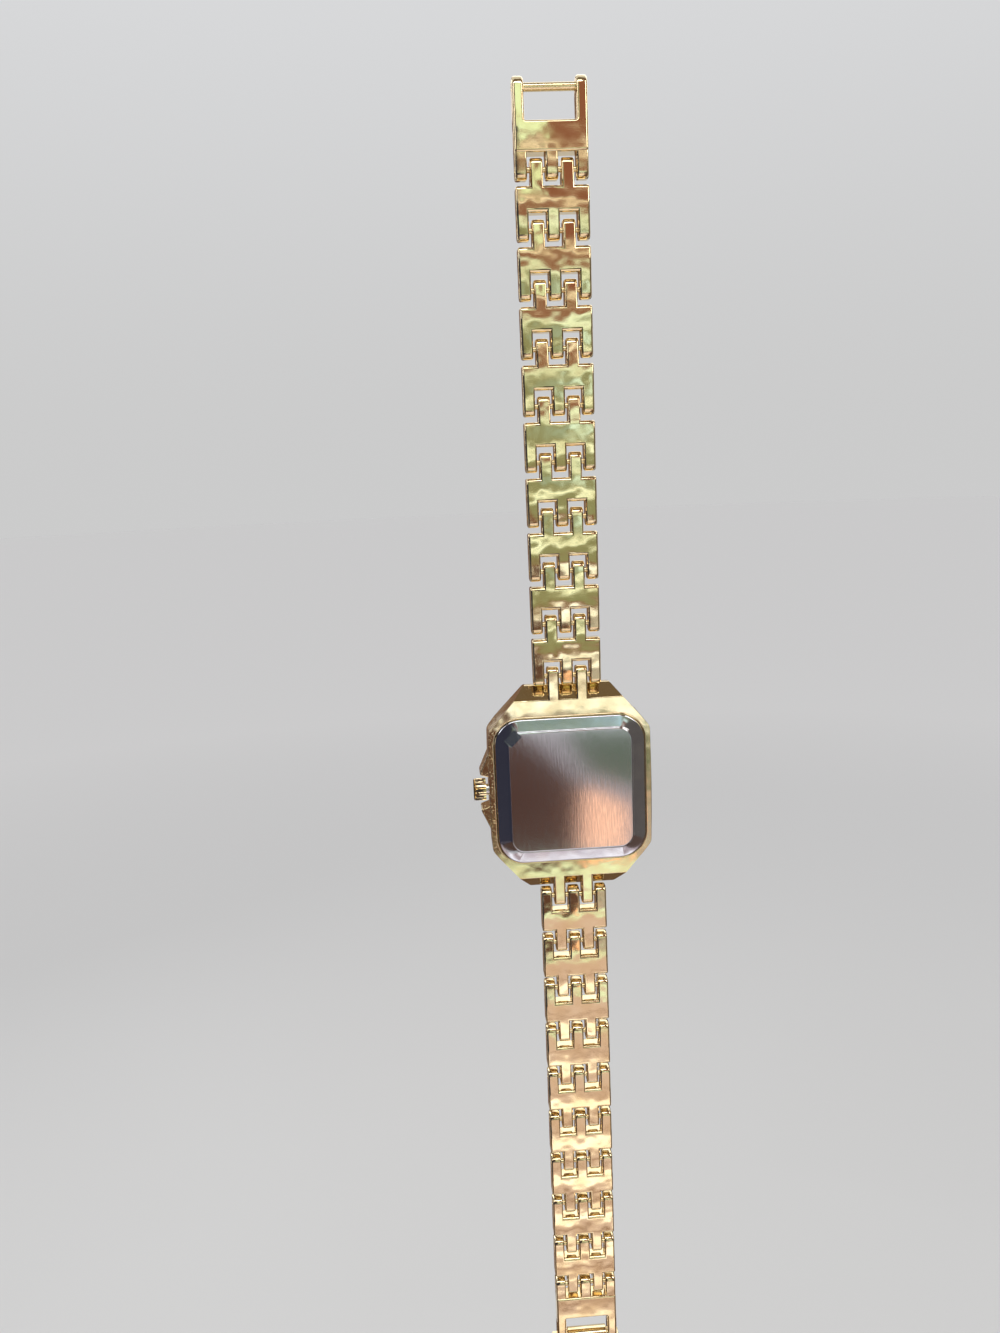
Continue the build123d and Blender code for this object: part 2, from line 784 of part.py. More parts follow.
gasket_start_reach = crown_foot + crown_cap_bevel
with BuildPart() as crown_gasket:
    with BuildSketch(towards_crown(gasket_start_reach)):
        Circle(crown_cavity_radius - grip_clearance)
        Circle(tube_radius + running_clearance, mode=Mode.SUBTRACT)
    extrude(amount=crown_cap_bevel)
save(crown_gasket.part, "crown_gasket")


# Clasp bracket and end frame: the same casting at both ends of the strap, with a cross bar
def end_bracket(side):
    """Three prongs, a plate, and two arms that hold a cross bar at their ends."""
    row = row_height(top_row)
    body_low = row + bracket_body_start
    body_high = body_low + bracket_body_length
    bar_height = row + bracket_bar_reach
    arm_centre = (strap_width - arm_width) / 2
    with BuildPart() as bracket:
        with BuildSketch(Plane.YZ.offset(-strap_width / 2)):
            with Locations((strap_depth, side * (body_low + body_high) / 2)):
                Rectangle(bracket_thickness, bracket_body_length)
        extrude(amount=strap_width)
        for centre in (-arm_centre, arm_centre):
            with BuildSketch(Plane.YZ.offset(centre - arm_width / 2)):
                with Locations((strap_depth, side * (body_high + bar_height) / 2)):
                    Rectangle(bracket_thickness, bar_height - body_high)
                with Locations((strap_depth, side * bar_height)):
                    Circle(arm_end_radius)
                    Circle(bar_radius + grip_clearance, mode=Mode.SUBTRACT)
            extrude(amount=arm_width)
        outer_centres = [-outer_prong_centre, outer_prong_centre]
        add(prongs(outer_centres, outer_prong_width, side * row, side * body_low, grip_bore))
        add(prongs([0], middle_prong_width, side * row, side * body_low, grip_bore))
        long_edges = bracket.edges().filter_by(GeomType.LINE).filter_by(Axis.Z)
        side_edges = long_edges.filter_by(
            lambda edge: abs(edge.center().X) > strap_width / 2 - link_edge_round
            and abs(edge.center().Y - strap_depth) > bracket_thickness / 2 - link_edge_round / 2
        )
        fillet(side_edges, radius=link_edge_round)
    return bracket.part


bar_height = row_height(top_row) + bracket_bar_reach
bar_length = strap_width - 2 * pin_end_recess
save(end_bracket(1), "clasp_bracket")
save(end_bracket(-1), "end_frame")
save(round_bar(strap_depth, bar_height, bar_radius, bar_length), "catch_bar")
save(round_bar(strap_depth, -bar_height, bar_radius, bar_length), "hinge_bar")


# Hook blade: a strip curled round the end frame's bar, with the cover's hinge at its foot
blade_depth = strap_depth - blade_knuckle_radius
blade_face_depth = blade_depth + blade_sheet
cover_pin_depth = blade_depth + blade_knuckle_radius
cover_pin_height = -bar_height - blade_length
blade_width = cover_inner_width - 2 * blade_side_gap
blade_shoulder = -bar_height - arm_end_radius - cover_wall
with BuildPart() as hook_blade:
    with BuildSketch(Plane.YZ.offset(-blade_knuckle_width / 2)):
        with Locations((strap_depth, -bar_height)):
            Circle(blade_knuckle_radius)
        with Locations((blade_depth + blade_sheet / 2, (-bar_height + blade_shoulder) / 2)):
            Rectangle(blade_sheet, -bar_height - blade_shoulder)
        with Locations((strap_depth, -bar_height)):
            Circle(bar_radius + running_clearance, mode=Mode.SUBTRACT)
    extrude(amount=blade_knuckle_width)
    with BuildSketch(Plane.YZ.offset(-blade_width / 2)):
        blade_foot = cover_pin_height + cover_ear_radius + cover_wall
        with Locations((blade_depth + blade_sheet / 2, (blade_shoulder + blade_foot) / 2)):
            Rectangle(blade_sheet, blade_shoulder - blade_foot)
    extrude(amount=blade_width)
    with BuildSketch(Plane.YZ.offset(-blade_knuckle_width / 2)):
        with Locations((cover_pin_depth, cover_pin_height)):
            Circle(blade_knuckle_radius)
        with Locations((blade_depth + blade_sheet / 2, (cover_pin_height + blade_foot) / 2)):
            Rectangle(blade_sheet, blade_foot - cover_pin_height)
        with Locations((cover_pin_depth, cover_pin_height)):
            Circle(cover_pin_radius + grip_clearance, mode=Mode.SUBTRACT)
    extrude(amount=blade_knuckle_width)
save(hook_blade.part, "hook_blade")

cover_width = cover_inner_width + 2 * cover_wall
cover_pin_length = cover_width - 2 * pin_end_recess
save(round_bar(cover_pin_depth, cover_pin_height, cover_pin_radius, cover_pin_length), "cover_pin")


# Clasp cover: a channel that folds over the blade, with the hook for the catch bar inside
web_inner_depth = blade_face_depth + cover_room
web_outer_depth = web_inner_depth + cover_wall
cover_low = cover_pin_height + cover_ear_radius
cover_high = -bar_height - cover_top_gap
wall_low_depth = blade_depth
hook_height = cover_pin_height + hook_reach
hook_tip_depth = blade_face_depth + blade_side_gap
with BuildPart() as clasp_cover:
    with BuildSketch(Plane.YZ.offset(-cover_width / 2)):
        with Locations(((web_inner_depth + web_outer_depth) / 2, (cover_low + cover_high) / 2)):
            Rectangle(cover_wall, cover_high - cover_low)
    extrude(amount=cover_width)
    for start in (-cover_width / 2, cover_width / 2 - cover_wall):
        with BuildSketch(Plane.YZ.offset(start)):
            with Locations(((wall_low_depth + web_outer_depth) / 2, (cover_low + cover_high) / 2)):
                Rectangle(web_outer_depth - wall_low_depth, cover_high - cover_low)
            with Locations((cover_pin_depth, cover_pin_height)):
                Circle(cover_ear_radius)
            with Locations((cover_pin_depth, cover_pin_height + cover_ear_radius)):
                Rectangle(2 * cover_ear_radius, 2 * cover_ear_radius)
            with Locations((cover_pin_depth, cover_pin_height)):
                Circle(cover_pin_radius + running_clearance, mode=Mode.SUBTRACT)
        extrude(amount=cover_wall)
    with BuildSketch(Plane.YZ.offset(-hook_width / 2)):
        with Locations(((hook_tip_depth + web_inner_depth) / 2, hook_height)):
            Rectangle(web_inner_depth - hook_tip_depth, hook_wall)
        with Locations((hook_tip_depth + hook_wall / 2, hook_height + hook_lip / 2)):
            Rectangle(hook_wall, hook_lip + hook_wall)
    extrude(amount=hook_width)
save(clasp_cover.part, "clasp_cover")
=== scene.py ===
import bmesh
import bpy
from math import atan2, cos, pi, radians, sin
from mathutils import Matrix, Vector


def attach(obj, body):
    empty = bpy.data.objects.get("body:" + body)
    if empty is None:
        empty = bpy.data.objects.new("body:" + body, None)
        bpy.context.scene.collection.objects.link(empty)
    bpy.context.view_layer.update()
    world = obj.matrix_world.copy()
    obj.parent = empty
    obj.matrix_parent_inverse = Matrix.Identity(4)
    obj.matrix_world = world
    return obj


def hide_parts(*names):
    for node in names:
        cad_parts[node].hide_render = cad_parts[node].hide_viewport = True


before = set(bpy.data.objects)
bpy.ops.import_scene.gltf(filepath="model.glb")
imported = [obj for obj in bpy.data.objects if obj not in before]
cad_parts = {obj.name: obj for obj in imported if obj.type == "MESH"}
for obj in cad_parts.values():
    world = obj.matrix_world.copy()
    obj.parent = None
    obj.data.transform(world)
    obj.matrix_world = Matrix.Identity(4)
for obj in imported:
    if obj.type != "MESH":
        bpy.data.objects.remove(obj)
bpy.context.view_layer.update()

# The camera stands where the photograph was taken: in front of the case back, a little towards
# the crown and above the case, looking down by eleven degrees.
heading, dip, lean = radians(2.97), radians(11.03), radians(-2.48)
forward = Vector((sin(heading) * cos(dip), cos(heading) * cos(dip), -sin(dip)))
level = Vector((cos(heading), -sin(heading), 0))
upright = level.cross(forward)
across = level * cos(lean) + upright * sin(lean)
above = upright * cos(lean) - level * sin(lean)
lens = bpy.data.cameras.new("view")
lens.sensor_width = 36
lens.lens = 26.94
lens.clip_start, lens.clip_end = 0.01, 20
camera = bpy.data.objects.new("camera", lens)
camera.matrix_world = Matrix((across, above, -forward)).transposed().to_4x4()
camera.location = (-0.01554, -0.12765, 0.04244)
bpy.context.scene.collection.objects.link(camera)
bpy.context.scene.camera = camera
bpy.context.scene.view_settings.view_transform = "Standard"

# A plain studio: a pale room, brightest overhead, and a pale floor well below the hanging watch
# that meets the room's tone at the horizon.
room = bpy.data.worlds.new("room")
bpy.context.scene.world = room
room.use_nodes = True
sky, wires = room.node_tree.nodes, room.node_tree.links
direction = sky.new("ShaderNodeTexCoord")
split = sky.new("ShaderNodeSeparateXYZ")
shades = sky.new("ShaderNodeValToRGB")
shades.color_ramp.interpolation = "EASE"
shades.color_ramp.elements[0].position = 0.0
shades.color_ramp.elements[0].color = (0.60, 0.60, 0.60, 1)
shades.color_ramp.elements[1].position = 0.75
shades.color_ramp.elements[1].color = (0.76, 0.77, 0.79, 1)
wires.new(direction.outputs["Generated"], split.inputs[0])
wires.new(split.outputs["Z"], shades.inputs[0])
wires.new(shades.outputs[0], sky["Background"].inputs["Color"])

floor_height, floor_radius, fade_start, fade_end = -0.32, 9, 0.3, 1.4
floor_mesh = bpy.data.meshes.new("floor")
drawn = bmesh.new()
bmesh.ops.create_circle(drawn, cap_ends=True, segments=64, radius=floor_radius)
bmesh.ops.translate(drawn, vec=(0, 0, floor_height), verts=drawn.verts)
drawn.to_mesh(floor_mesh)
drawn.free()
floor = bpy.data.objects.new("floor", floor_mesh)
bpy.context.scene.collection.objects.link(floor)
floor_paint = bpy.data.materials.new("floor_paint")
floor_paint.use_nodes = True
paint, wires = floor_paint.node_tree.nodes, floor_paint.node_tree.links
place = paint.new("ShaderNodeTexCoord")
far = paint.new("ShaderNodeVectorMath")
far.operation = "LENGTH"
# The floor's paint is darker towards the middle and paler further out, between fade_start and fade_end
# from the middle: painted shade near the middle, where the lamps light the floor most.
fade = paint.new("ShaderNodeMapRange")
fade.inputs["From Min"].default_value = fade_start
fade.inputs["From Max"].default_value = fade_end
floor_painted_shade = paint.new("ShaderNodeValToRGB")
floor_painted_shade.color_ramp.elements[0].color = (0.60, 0.595, 0.585, 1)
floor_painted_shade.color_ramp.elements[1].color = (0.80, 0.785, 0.77, 1)
paint["Principled BSDF"].inputs["Roughness"].default_value = 0.9
wires.new(place.outputs["Object"], far.inputs[0])
wires.new(far.outputs["Value"], fade.inputs["Value"])
wires.new(fade.outputs[0], floor_painted_shade.inputs[0])
wires.new(floor_painted_shade.outputs[0], paint["Principled BSDF"].inputs["Base Color"])
floor_mesh.materials.append(floor_paint)


def towards(azimuth, elevation, distance):
    """A place seen from the watch: azimuth 0 is out of the case back, 90 is towards +X."""
    turn, rise = radians(azimuth), radians(elevation)
    return Vector((sin(turn) * cos(rise), -cos(turn) * cos(rise), sin(rise))) * distance


# Soft panels light it, and cards like those round any polished object on a photographer's table
# give its faces something lighter and darker to mirror. The camera sees neither. A card's corners
# are (azimuth, elevation), and where it would go below the floor it bends and runs on above it.
for name, azimuth, elevation, distance, size, power, tone in (
    ("panel_right", 48, 34, 0.5, (0.10, 0.26), 0.55, (1, 0.97, 0.92)),
    ("panel_left", -58, 34, 0.5, (0.08, 0.30), 0.35, (0.95, 0.97, 1)),
    ("panel_top", -8, 52, 0.5, (0.40, 0.08), 0.55, (1, 1, 1)),
    ("panel_front", 160, 40, 0.55, (0.44, 0.40), 0.6, (1, 0.97, 0.93)),
    ("panel_side", 215, 20, 0.55, (0.08, 0.36), 0.45, (0.97, 0.98, 1)),
):
    panel = bpy.data.lights.new(name, "AREA")
    panel.shape = "RECTANGLE"
    panel.size, panel.size_y = size
    panel.energy = power
    panel.color = tone
    lamp = bpy.data.objects.new(name, panel)
    lamp.location = towards(azimuth, elevation, distance)
    lamp.rotation_mode = "QUATERNION"
    lamp.rotation_quaternion = lamp.location.to_track_quat("Z", "Y")
    lamp.visible_camera = False
    bpy.context.scene.collection.objects.link(lamp)
card_floor, card_reach, card_columns, card_rows = floor_height + 0.02, 0.6, 8, 4
for name, reach, tone, corners in (
    ("flag_left", 0.62, (0.045, 0.045, 0.065), ((-105, -28), (-13.5, -28), (-7, 24), (-105, 24))),
    ("flag_corner", 0.61, (0.045, 0.045, 0.065), ((-24, -8), (-6, -8), (-6, 26), (-24, 26))),
    ("flag_right", 0.62, (0.15, 0.13, 0.115), ((21, -28), (100, -28), (100, 24), (21, 24))),
    ("flag_high_left", 0.62, (0.11, 0.06, 0.04), ((-105, 24), (-7, 24), (-7, 62), (-105, 62))),
    ("flag_high_right", 0.62, (0.19, 0.10, 0.07), ((26, 24), (100, 24), (100, 62), (26, 62))),
    ("flag_low_left", 0.62, (0.12, 0.07, 0.05), ((-105, -64), (-34, -64), (-22, -28), (-105, -28))),
    ("flag_low_right", 0.62, (0.14, 0.09, 0.07), ((42, -64), (105, -64), (105, -28), (30, -28))),
    ("flag_over", 0.62, (0.17, 0.13, 0.09), ((-70, 62), (80, 62), (80, 86), (-70, 86))),
    ("flag_under", 0.62, (0.15, 0.10, 0.07), ((85, -52), (275, -52), (275, -80), (85, -80))),
    ("flag_far_left", 0.62, (0.07, 0.06, 0.05), ((128, -40), (158, -40), (158, 16), (128, 16))),
    ("flag_behind", 0.62, (0.20, 0.12, 0.08), ((178, -50), (196, -50), (196, 40), (178, 40))),
    ("flag_far_right", 0.62, (0.07, 0.06, 0.05), ((206, -40), (238, -40), (238, 16), (206, 16))),
    ("card_high", 0.60, (1.0, 1.3, 1.0), ((-7, 23.8), (5.0, 23.8), (5.0, 46), (-7, 46))),
    ("card_high_dark", 0.60, (0.30, 0.12, 0.08), ((5.0, 24.5), (26, 24.5), (26, 46), (5.0, 46))),
    ("card_rust", 0.60, (0.32, 0.16, 0.11), ((-7, 14.5), (26, 14.5), (26, 25), (-7, 23.8))),
    ("card_rust_light", 0.58, (1.3, 1.25, 1.1), ((-7, 20.9), (26, 19.4), (26, 21.4), (-7, 22.9))),
    ("card_cool", 0.60, (1.05, 1.3, 1.15), ((-7, 11.4), (24, 10.4), (24, 14.6), (-7, 14.9))),
    ("card_olive", 0.60, (0.31, 0.35, 0.21), ((-7, -7.8), (24, -7.8), (24, 10.6), (-7, 11.6))),
    ("card_teal", 0.59, (0.40, 0.54, 0.47), ((1, 5.2), (9.4, 5.2), (9.4, 9.0), (1, 9.0))),
    ("card_cyan", 0.585, (0.95, 1.35, 1.4), ((9.4, 4.6), (14.5, 4.6), (14.5, 9.4), (9.4, 9.4))),
    ("card_ribbon", 0.58, (1.35, 1.6, 1.45), ((-7, -2.2), (22, 0.2), (22, 3.2), (-7, 0.6))),
    ("card_brown_row", 0.60, (0.26, 0.13, 0.085), ((-7, -10.3), (24, -10.3), (24, -7.8), (-7, -7.8))),
    ("card_cream", 0.60, (1.6, 1.75, 1.85), ((-4, -13.6), (20, -13.6), (20, -10.3), (-4, -10.3))),
    ("card_grey", 0.60, (0.50, 0.47, 0.50), ((-12, -23.3), (14, -23.3), (14, -13.6), (-12, -13.6))),
    ("card_green", 0.58, (0.16, 0.21, 0.15), ((8.2, -16.9), (13, -18.4), (13, -13.6), (6.4, -13.6))),
    ("card_brown", 0.58, (0.12, 0.06, 0.045), ((-13, -23.3), (7.3, -23.3), (7.7, -18.0), (-2, -9))),
    ("card_peach", 0.56, (1.8, 1.03, 0.68), ((7.5, -22.7), (11.1, -22.7), (11.3, -19.4), (7.9, -17.9))),
    ("card_pale", 0.58, (1.05, 1.35, 1.15), ((-2, -25.8), (18, -25.8), (18, -23.3), (-2, -23.3))),
    ("card_pink", 0.60, (0.80, 0.64, 0.64), ((-22, -64), (42, -64), (30, -25.8), (-22, -25.8))),
    ("card_pink_light", 0.58, (1.6, 1.6, 1.55), ((-22, -33.4), (30, -31.8), (30, -27.8), (-22, -29.0))),
    ("card_pink_dark", 0.58, (0.30, 0.18, 0.12), ((-22, -36.9), (30, -35.7), (30, -35.0), (-22, -36.0))),
    ("card_white", 0.58, (1.8, 1.75, 1.75), ((-22, -46.4), (30, -46.4), (30, -40.6), (-22, -41.2))),
    ("card_low_dark", 0.58, (0.30, 0.18, 0.12), ((-22, -52.2), (30, -52.2), (30, -50.8), (-22, -50.8))),
    ("card_low_light", 0.58, (1.5, 1.4, 1.35), ((-22, -60), (30, -60), (30, -56), (-22, -56))),
):
    card_mesh = bpy.data.meshes.new(name)
    drawn = bmesh.new()
    bmesh.ops.create_grid(drawn, x_segments=card_columns, y_segments=card_rows, size=0.5)
    for vert in drawn.verts:
        right_share, top_share = vert.co.x + 0.5, vert.co.y + 0.5
        low = Vector(corners[0]).lerp(Vector(corners[1]), right_share)
        high = Vector(corners[3]).lerp(Vector(corners[2]), right_share)
        azimuth, elevation = low.lerp(high, top_share)
        vert.co = towards(azimuth, elevation, reach)
        if vert.co.z < card_floor:
            vert.co *= card_floor / vert.co.z
            vert.co.z -= (reach - card_reach) / 2
    drawn.to_mesh(card_mesh)
    drawn.free()
    glow = bpy.data.materials.new(name)
    glow.use_nodes = True
    surface = glow.node_tree.nodes["Principled BSDF"]
    surface.inputs["Base Color"].default_value = (0, 0, 0, 1)
    surface.inputs["Specular IOR Level"].default_value = 0
    surface.inputs["Emission Color"].default_value = (*tone, 1)
    surface.inputs["Emission Strength"].default_value = 1
    card_mesh.materials.append(glow)
    card = bpy.data.objects.new(name, card_mesh)
    bpy.context.scene.collection.objects.link(card)
    card.visible_camera = card.visible_diffuse = card.visible_shadow = False
    card.visible_transmission = False


# The case middle: one brass casting with a square opening, cut corners, two prongs at each end
# for the bracelet and two guards beside the crown. It is polished and plated in pale gold, and
# the crown side keeps some grain of the casting.
back_face, case_front = 0.8, 5.3
flank, flank_end, shoulder, shoulder_end, flank_round = 11.02, 8.2, 9.9, 9.5, 0.4
bow_end, bow_middle, bow_height, shoulder_round = 0.12, 0.03, 4.1, 0.45
lug_end, lug_half, lug_bevel, lug_slope_start, lug_drop, lug_round = 14.25, 5.8, 1.8, 10.3, 1.7, 0.3
well_side, well_corner, well_floor, beyond = 17.0, 3.0, 4.9, 1
window_side, window_corner, window_start, rim_side, rim_corner = 15.0, 2.0, 4.0, 20.7, 3.85
guard_back, guard_front, guard_tip_round, guard_round = 1.55, 4.55, 0.3, 0.14
strap_back, strap_front, strap_level = 0.8, 2.9, 1.85
tip_reach, tip_round, finger_round, finger_play = 1.25, 0.75, 0.26, 0.015
inner_finger, finger_width, outer_finger, outer_finger_width = 1.9, 1.6, 3.75, 1.5
lug_row, pin_bore, well_clear = 15.55, 0.37, 5
pale_gold, deep_gold = (0.88, 0.74, 0.47, 1), (0.81, 0.63, 0.35, 1)


def blank(name, metallic):
    """A new material: itself, its node tree, its surface and the place on the piece."""
    finish = bpy.data.materials.new(name)
    finish.use_nodes = True
    surface = finish.node_tree.nodes["Principled BSDF"]
    surface.inputs["Metallic"].default_value = metallic
    return finish, finish.node_tree, surface, finish.node_tree.nodes.new("ShaderNodeTexCoord")


def noise(tree, vector, scale, detail=2):
    """A noise pattern, its scale per metre."""
    pattern = tree.nodes.new("ShaderNodeTexNoise")
    pattern.inputs["Scale"].default_value = scale
    pattern.inputs["Detail"].default_value = detail
    tree.links.new(vector, pattern.inputs["Vector"])
    return pattern.outputs[0]


def remap(tree, source, low, high, start=0, end=1):
    """The source's values from low to high, turned into values from start to end."""
    ranges = tree.nodes.new("ShaderNodeMapRange")
    for name, value in (("From Min", low), ("From Max", high), ("To Min", start), ("To Max", end)):
        ranges.inputs[name].default_value = value
    tree.links.new(source, ranges.inputs["Value"])
    return ranges.outputs[0]


def shaded(tree, source, low, high, dark, light):
    """A colour between dark, where the source is low, and light, where it is high."""
    tint = tree.nodes.new("ShaderNodeValToRGB")
    for stop, position, colour in zip(tint.color_ramp.elements, (low, high), (dark, light)):
        stop.position, stop.color = position, colour
    tree.links.new(source, tint.inputs[0])
    return tint.outputs[0]


def relief(tree, height, depth, under=None):
    """Bumps that follow the source, depth in millimetres, over other bumps if there are any."""
    bump = tree.nodes.new("ShaderNodeBump")
    bump.inputs["Distance"].default_value = depth / 1000
    tree.links.new(height, bump.inputs["Height"])
    if under:
        tree.links.new(under, bump.inputs["Normal"])
    return bump


def plated(name, light, dark, roughness, ripple, grain, grain_size=0.1, rough_side=0, pillow=None):
    """Plated metal: slow ripples and a fine grain under the polish, sizes in millimetres.

    Beyond rough_side, towards -X, the grain stands up in specks. A pillow curves the mirror image
    of a flat casting as a softly swollen one would, by these amounts across and up."""
    patch_scale, wave_scale, fade_half, smooth_strength = 350, 420, 0.4, 0.02
    finish, tree, surface, where = blank(name, 1)
    place = where.outputs["Object"]
    patches, waves = noise(tree, place, patch_scale, 4), noise(tree, place, wave_scale, 1)
    grains = noise(tree, place, 1000 / grain_size)
    wavy = relief(tree, waves, ripple)
    grainy = relief(tree, grains, grain, wavy.outputs[0])
    polish = remap(tree, patches, 0.3, 0.7, roughness * 1.4, roughness * 0.7)
    tree.links.new(shaded(tree, patches, 0.3, 0.7, dark, light), surface.inputs["Base Color"])
    tree.links.new(polish, surface.inputs["Roughness"])
    tree.links.new(grainy.outputs[0], surface.inputs["Normal"])
    if rough_side:
        apart = tree.nodes.new("ShaderNodeSeparateXYZ")
        tree.links.new(place, apart.inputs[0])
        smooth_end, rough_start = -(rough_side - fade_half) / 1000, -(rough_side + fade_half) / 1000
        strength = remap(tree, apart.outputs["X"], smooth_end, rough_start, smooth_strength)
        tree.links.new(strength, grainy.inputs["Strength"])
        tree.links.new(remap(tree, grains, 0.60, 0.72), grainy.inputs["Height"])
    if pillow:
        apart = tree.nodes.new("ShaderNodeSeparateXYZ")
        tree.links.new(where.outputs["UV"], apart.inputs[0])
        domes = []
        for axis, curve in zip("XY", pillow):
            square, dome = tree.nodes.new("ShaderNodeMath"), tree.nodes.new("ShaderNodeMath")
            square.operation, dome.operation = "POWER", "MULTIPLY_ADD"
            square.inputs[1].default_value, dome.inputs[1].default_value = 2, -curve
            dome.inputs[2].default_value = 0
            tree.links.new(apart.outputs[axis], square.inputs[0])
            tree.links.new(square.outputs[0], dome.inputs[0])
            domes.append(dome)
        tree.links.new(domes[0].outputs[0], domes[1].inputs[2])
        swelling = relief(tree, domes[1].outputs[0], 1000)
        tree.links.new(swelling.outputs[0], wavy.inputs["Normal"])
    return finish


def join(shape, other, way):
    """Adds the other shape to this one, or cuts it away, and leaves one clean shell."""
    pair = []
    for part in (shape, other):
        mesh = bpy.data.meshes.new("joining")
        bmesh.ops.recalc_face_normals(part, faces=part.faces)
        part.to_mesh(mesh)
        pair.append(bpy.data.objects.new("joining", mesh))
        bpy.context.scene.collection.objects.link(pair[-1])
    work = pair[0].modifiers.new("work", "BOOLEAN")
    work.operation, work.solver, work.object = way, "EXACT", pair[1]
    bpy.context.view_layer.update()
    done = pair[0].evaluated_get(bpy.context.evaluated_depsgraph_get()).to_mesh()
    shape.clear()
    shape.from_mesh(done)
    for part in pair:
        bpy.data.objects.remove(part)
    other.free()
    bmesh.ops.remove_doubles(shape, verts=shape.verts, dist=0.0005)
    bmesh.ops.dissolve_limit(shape, angle_limit=radians(0.5), verts=shape.verts, edges=shape.edges)


def soften(shape, width, steps=3, wide=None, times=1):
    """Rounds every sharp edge of a shape, and some of them more than the others."""
    weight = shape.edges.layers.float.new("bevel_weight_edge")
    for edge in shape.edges:
        if edge.is_manifold and edge.calc_face_angle() > radians(35):
            edge[weight] = 1 if wide and wide(edge) else 1 / times
    mesh = bpy.data.meshes.new("rounding")
    shape.to_mesh(mesh)
    body = bpy.data.objects.new("rounding", mesh)
    bpy.context.scene.collection.objects.link(body)
    work = body.modifiers.new("work", "BEVEL")
    work.limit_method = "WEIGHT"
    work.width = width * times
    work.segments = steps
    work.use_clamp_overlap = False
    bpy.context.view_layer.update()
    done = body.evaluated_get(bpy.context.evaluated_depsgraph_get()).to_mesh()
    shape.clear()
    shape.from_mesh(done)
    bpy.data.objects.remove(body)
    for layer in list(shape.edges.layers.float.values()):
        shape.edges.layers.float.remove(layer)


def finished(name, shape, body, finishes, replaced, middle=0):
    """Turns a shape drawn in millimetres into a piece of the watch, mapped from its middle height."""
    bmesh.ops.scale(shape, vec=(0.001, 0.001, 0.001), verts=shape.verts)
    mapped = shape.loops.layers.uv.new("from_middle")
    for face in shape.faces:
        for corner in face.loops:
            corner[mapped].uv = (corner.vert.co.x, corner.vert.co.z - middle / 1000)
    mesh = bpy.data.meshes.new(name)
    shape.to_mesh(mesh)
    shape.free()
    mesh.polygons.foreach_set("use_smooth", [True] * len(mesh.polygons))
    mesh.set_sharp_from_angle(angle=radians(40))
    for finish in finishes:
        mesh.materials.append(finish)
    piece = bpy.data.objects.new(name, mesh)
    bpy.context.scene.collection.objects.link(piece)
    flats = piece.modifiers.new("flats", "WEIGHTED_NORMAL")
    flats.keep_sharp = True
    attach(piece, body)
    if replaced:
        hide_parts(*replaced)
    return piece


def plate(corners, start, end, rounded=(), steps=5):
    """A flat plate with the given corners (across, up), between two depths."""
    shape = bmesh.new()
    verts = [shape.verts.new((x, start, z)) for x, z in corners]
    shape.faces.new(verts)
    for radius, picked in rounded:
        bmesh.ops.bevel(
            shape, geom=[verts[n] for n in picked], offset=radius, offset_type="OFFSET", segments=steps,
            profile=0.5, affect="VERTICES", material=-1,
        )
    grown = bmesh.ops.extrude_face_region(shape, geom=shape.faces[:])
    tops = [v for v in grown["geom"] if isinstance(v, bmesh.types.BMVert)]
    bmesh.ops.translate(shape, vec=(0, end - start, 0), verts=tops)
    bmesh.ops.recalc_face_normals(shape, faces=shape.faces)
    return shape


def slab(side, corner, start, end):
    """A rounded square slab across the watch, between two depths."""
    half = side / 2
    corners = [(half, half), (-half, half), (-half, -half), (half, -half)]
    return plate(corners, start, end, [(corner, range(4))], 12)


def narrow(shape, front, steps):
    """Carries the back or the front face of a slab on in steps (inward, outward)."""
    face = (max if front else min)(shape.faces, key=lambda face: face.calc_center_median().y)
    for inset, rise in steps:
        bmesh.ops.inset_region(shape, faces=[face], thickness=inset, depth=rise, use_even_offset=True)


def rail(profile, low, high, rounded=()):
    """A bar along the strap's width with the given profile (depth, up)."""
    shape = plate(profile, low, high, rounded)
    for vert in shape.verts:
        vert.co = Vector((vert.co.y, vert.co.x, vert.co.z))
    bmesh.ops.recalc_face_normals(shape, faces=shape.faces)
    return shape


def rod(radius, low, high, depth, up, segments=32):
    """A round rod along the strap's width, at a depth and a height."""
    shape = bmesh.new()
    bmesh.ops.create_cone(
        shape, cap_ends=True, segments=segments, radius1=radius, radius2=radius, depth=high - low
    )
    bmesh.ops.rotate(shape, verts=shape.verts, matrix=Matrix.Rotation(radians(90), 3, "Y"))
    bmesh.ops.translate(shape, vec=((low + high) / 2, depth, up), verts=shape.verts)
    return shape


def slice_off(shape, point, outward):
    """Cuts a corner away with a flat face."""
    everything = shape.verts[:] + shape.edges[:] + shape.faces[:]
    cut = bmesh.ops.bisect_plane(
        shape, geom=everything, plane_co=point, plane_no=outward, clear_outer=True
    )
    rim = [edge for edge in cut["geom_cut"] if isinstance(edge, bmesh.types.BMEdge)]
    bmesh.ops.holes_fill(shape, edges=rim)


def finger(centre, width, pin, root):
    """A finger with a rounded tip and soft edges round a pin, its root inside its casting."""
    back, front = strap_back, strap_front
    tip = pin + (tip_reach if pin > root else -tip_reach)
    half = width / 2 - finger_play
    corners = [(back, tip), (back, root), (front, root), (front, tip)]
    shape = rail(corners, centre - half, centre + half, [(tip_round, [0, 3])])
    soften(shape, finger_round)
    join(shape, rod(pin_bore, centre - width, centre + width, strap_level, pin), "DIFFERENCE")
    return shape


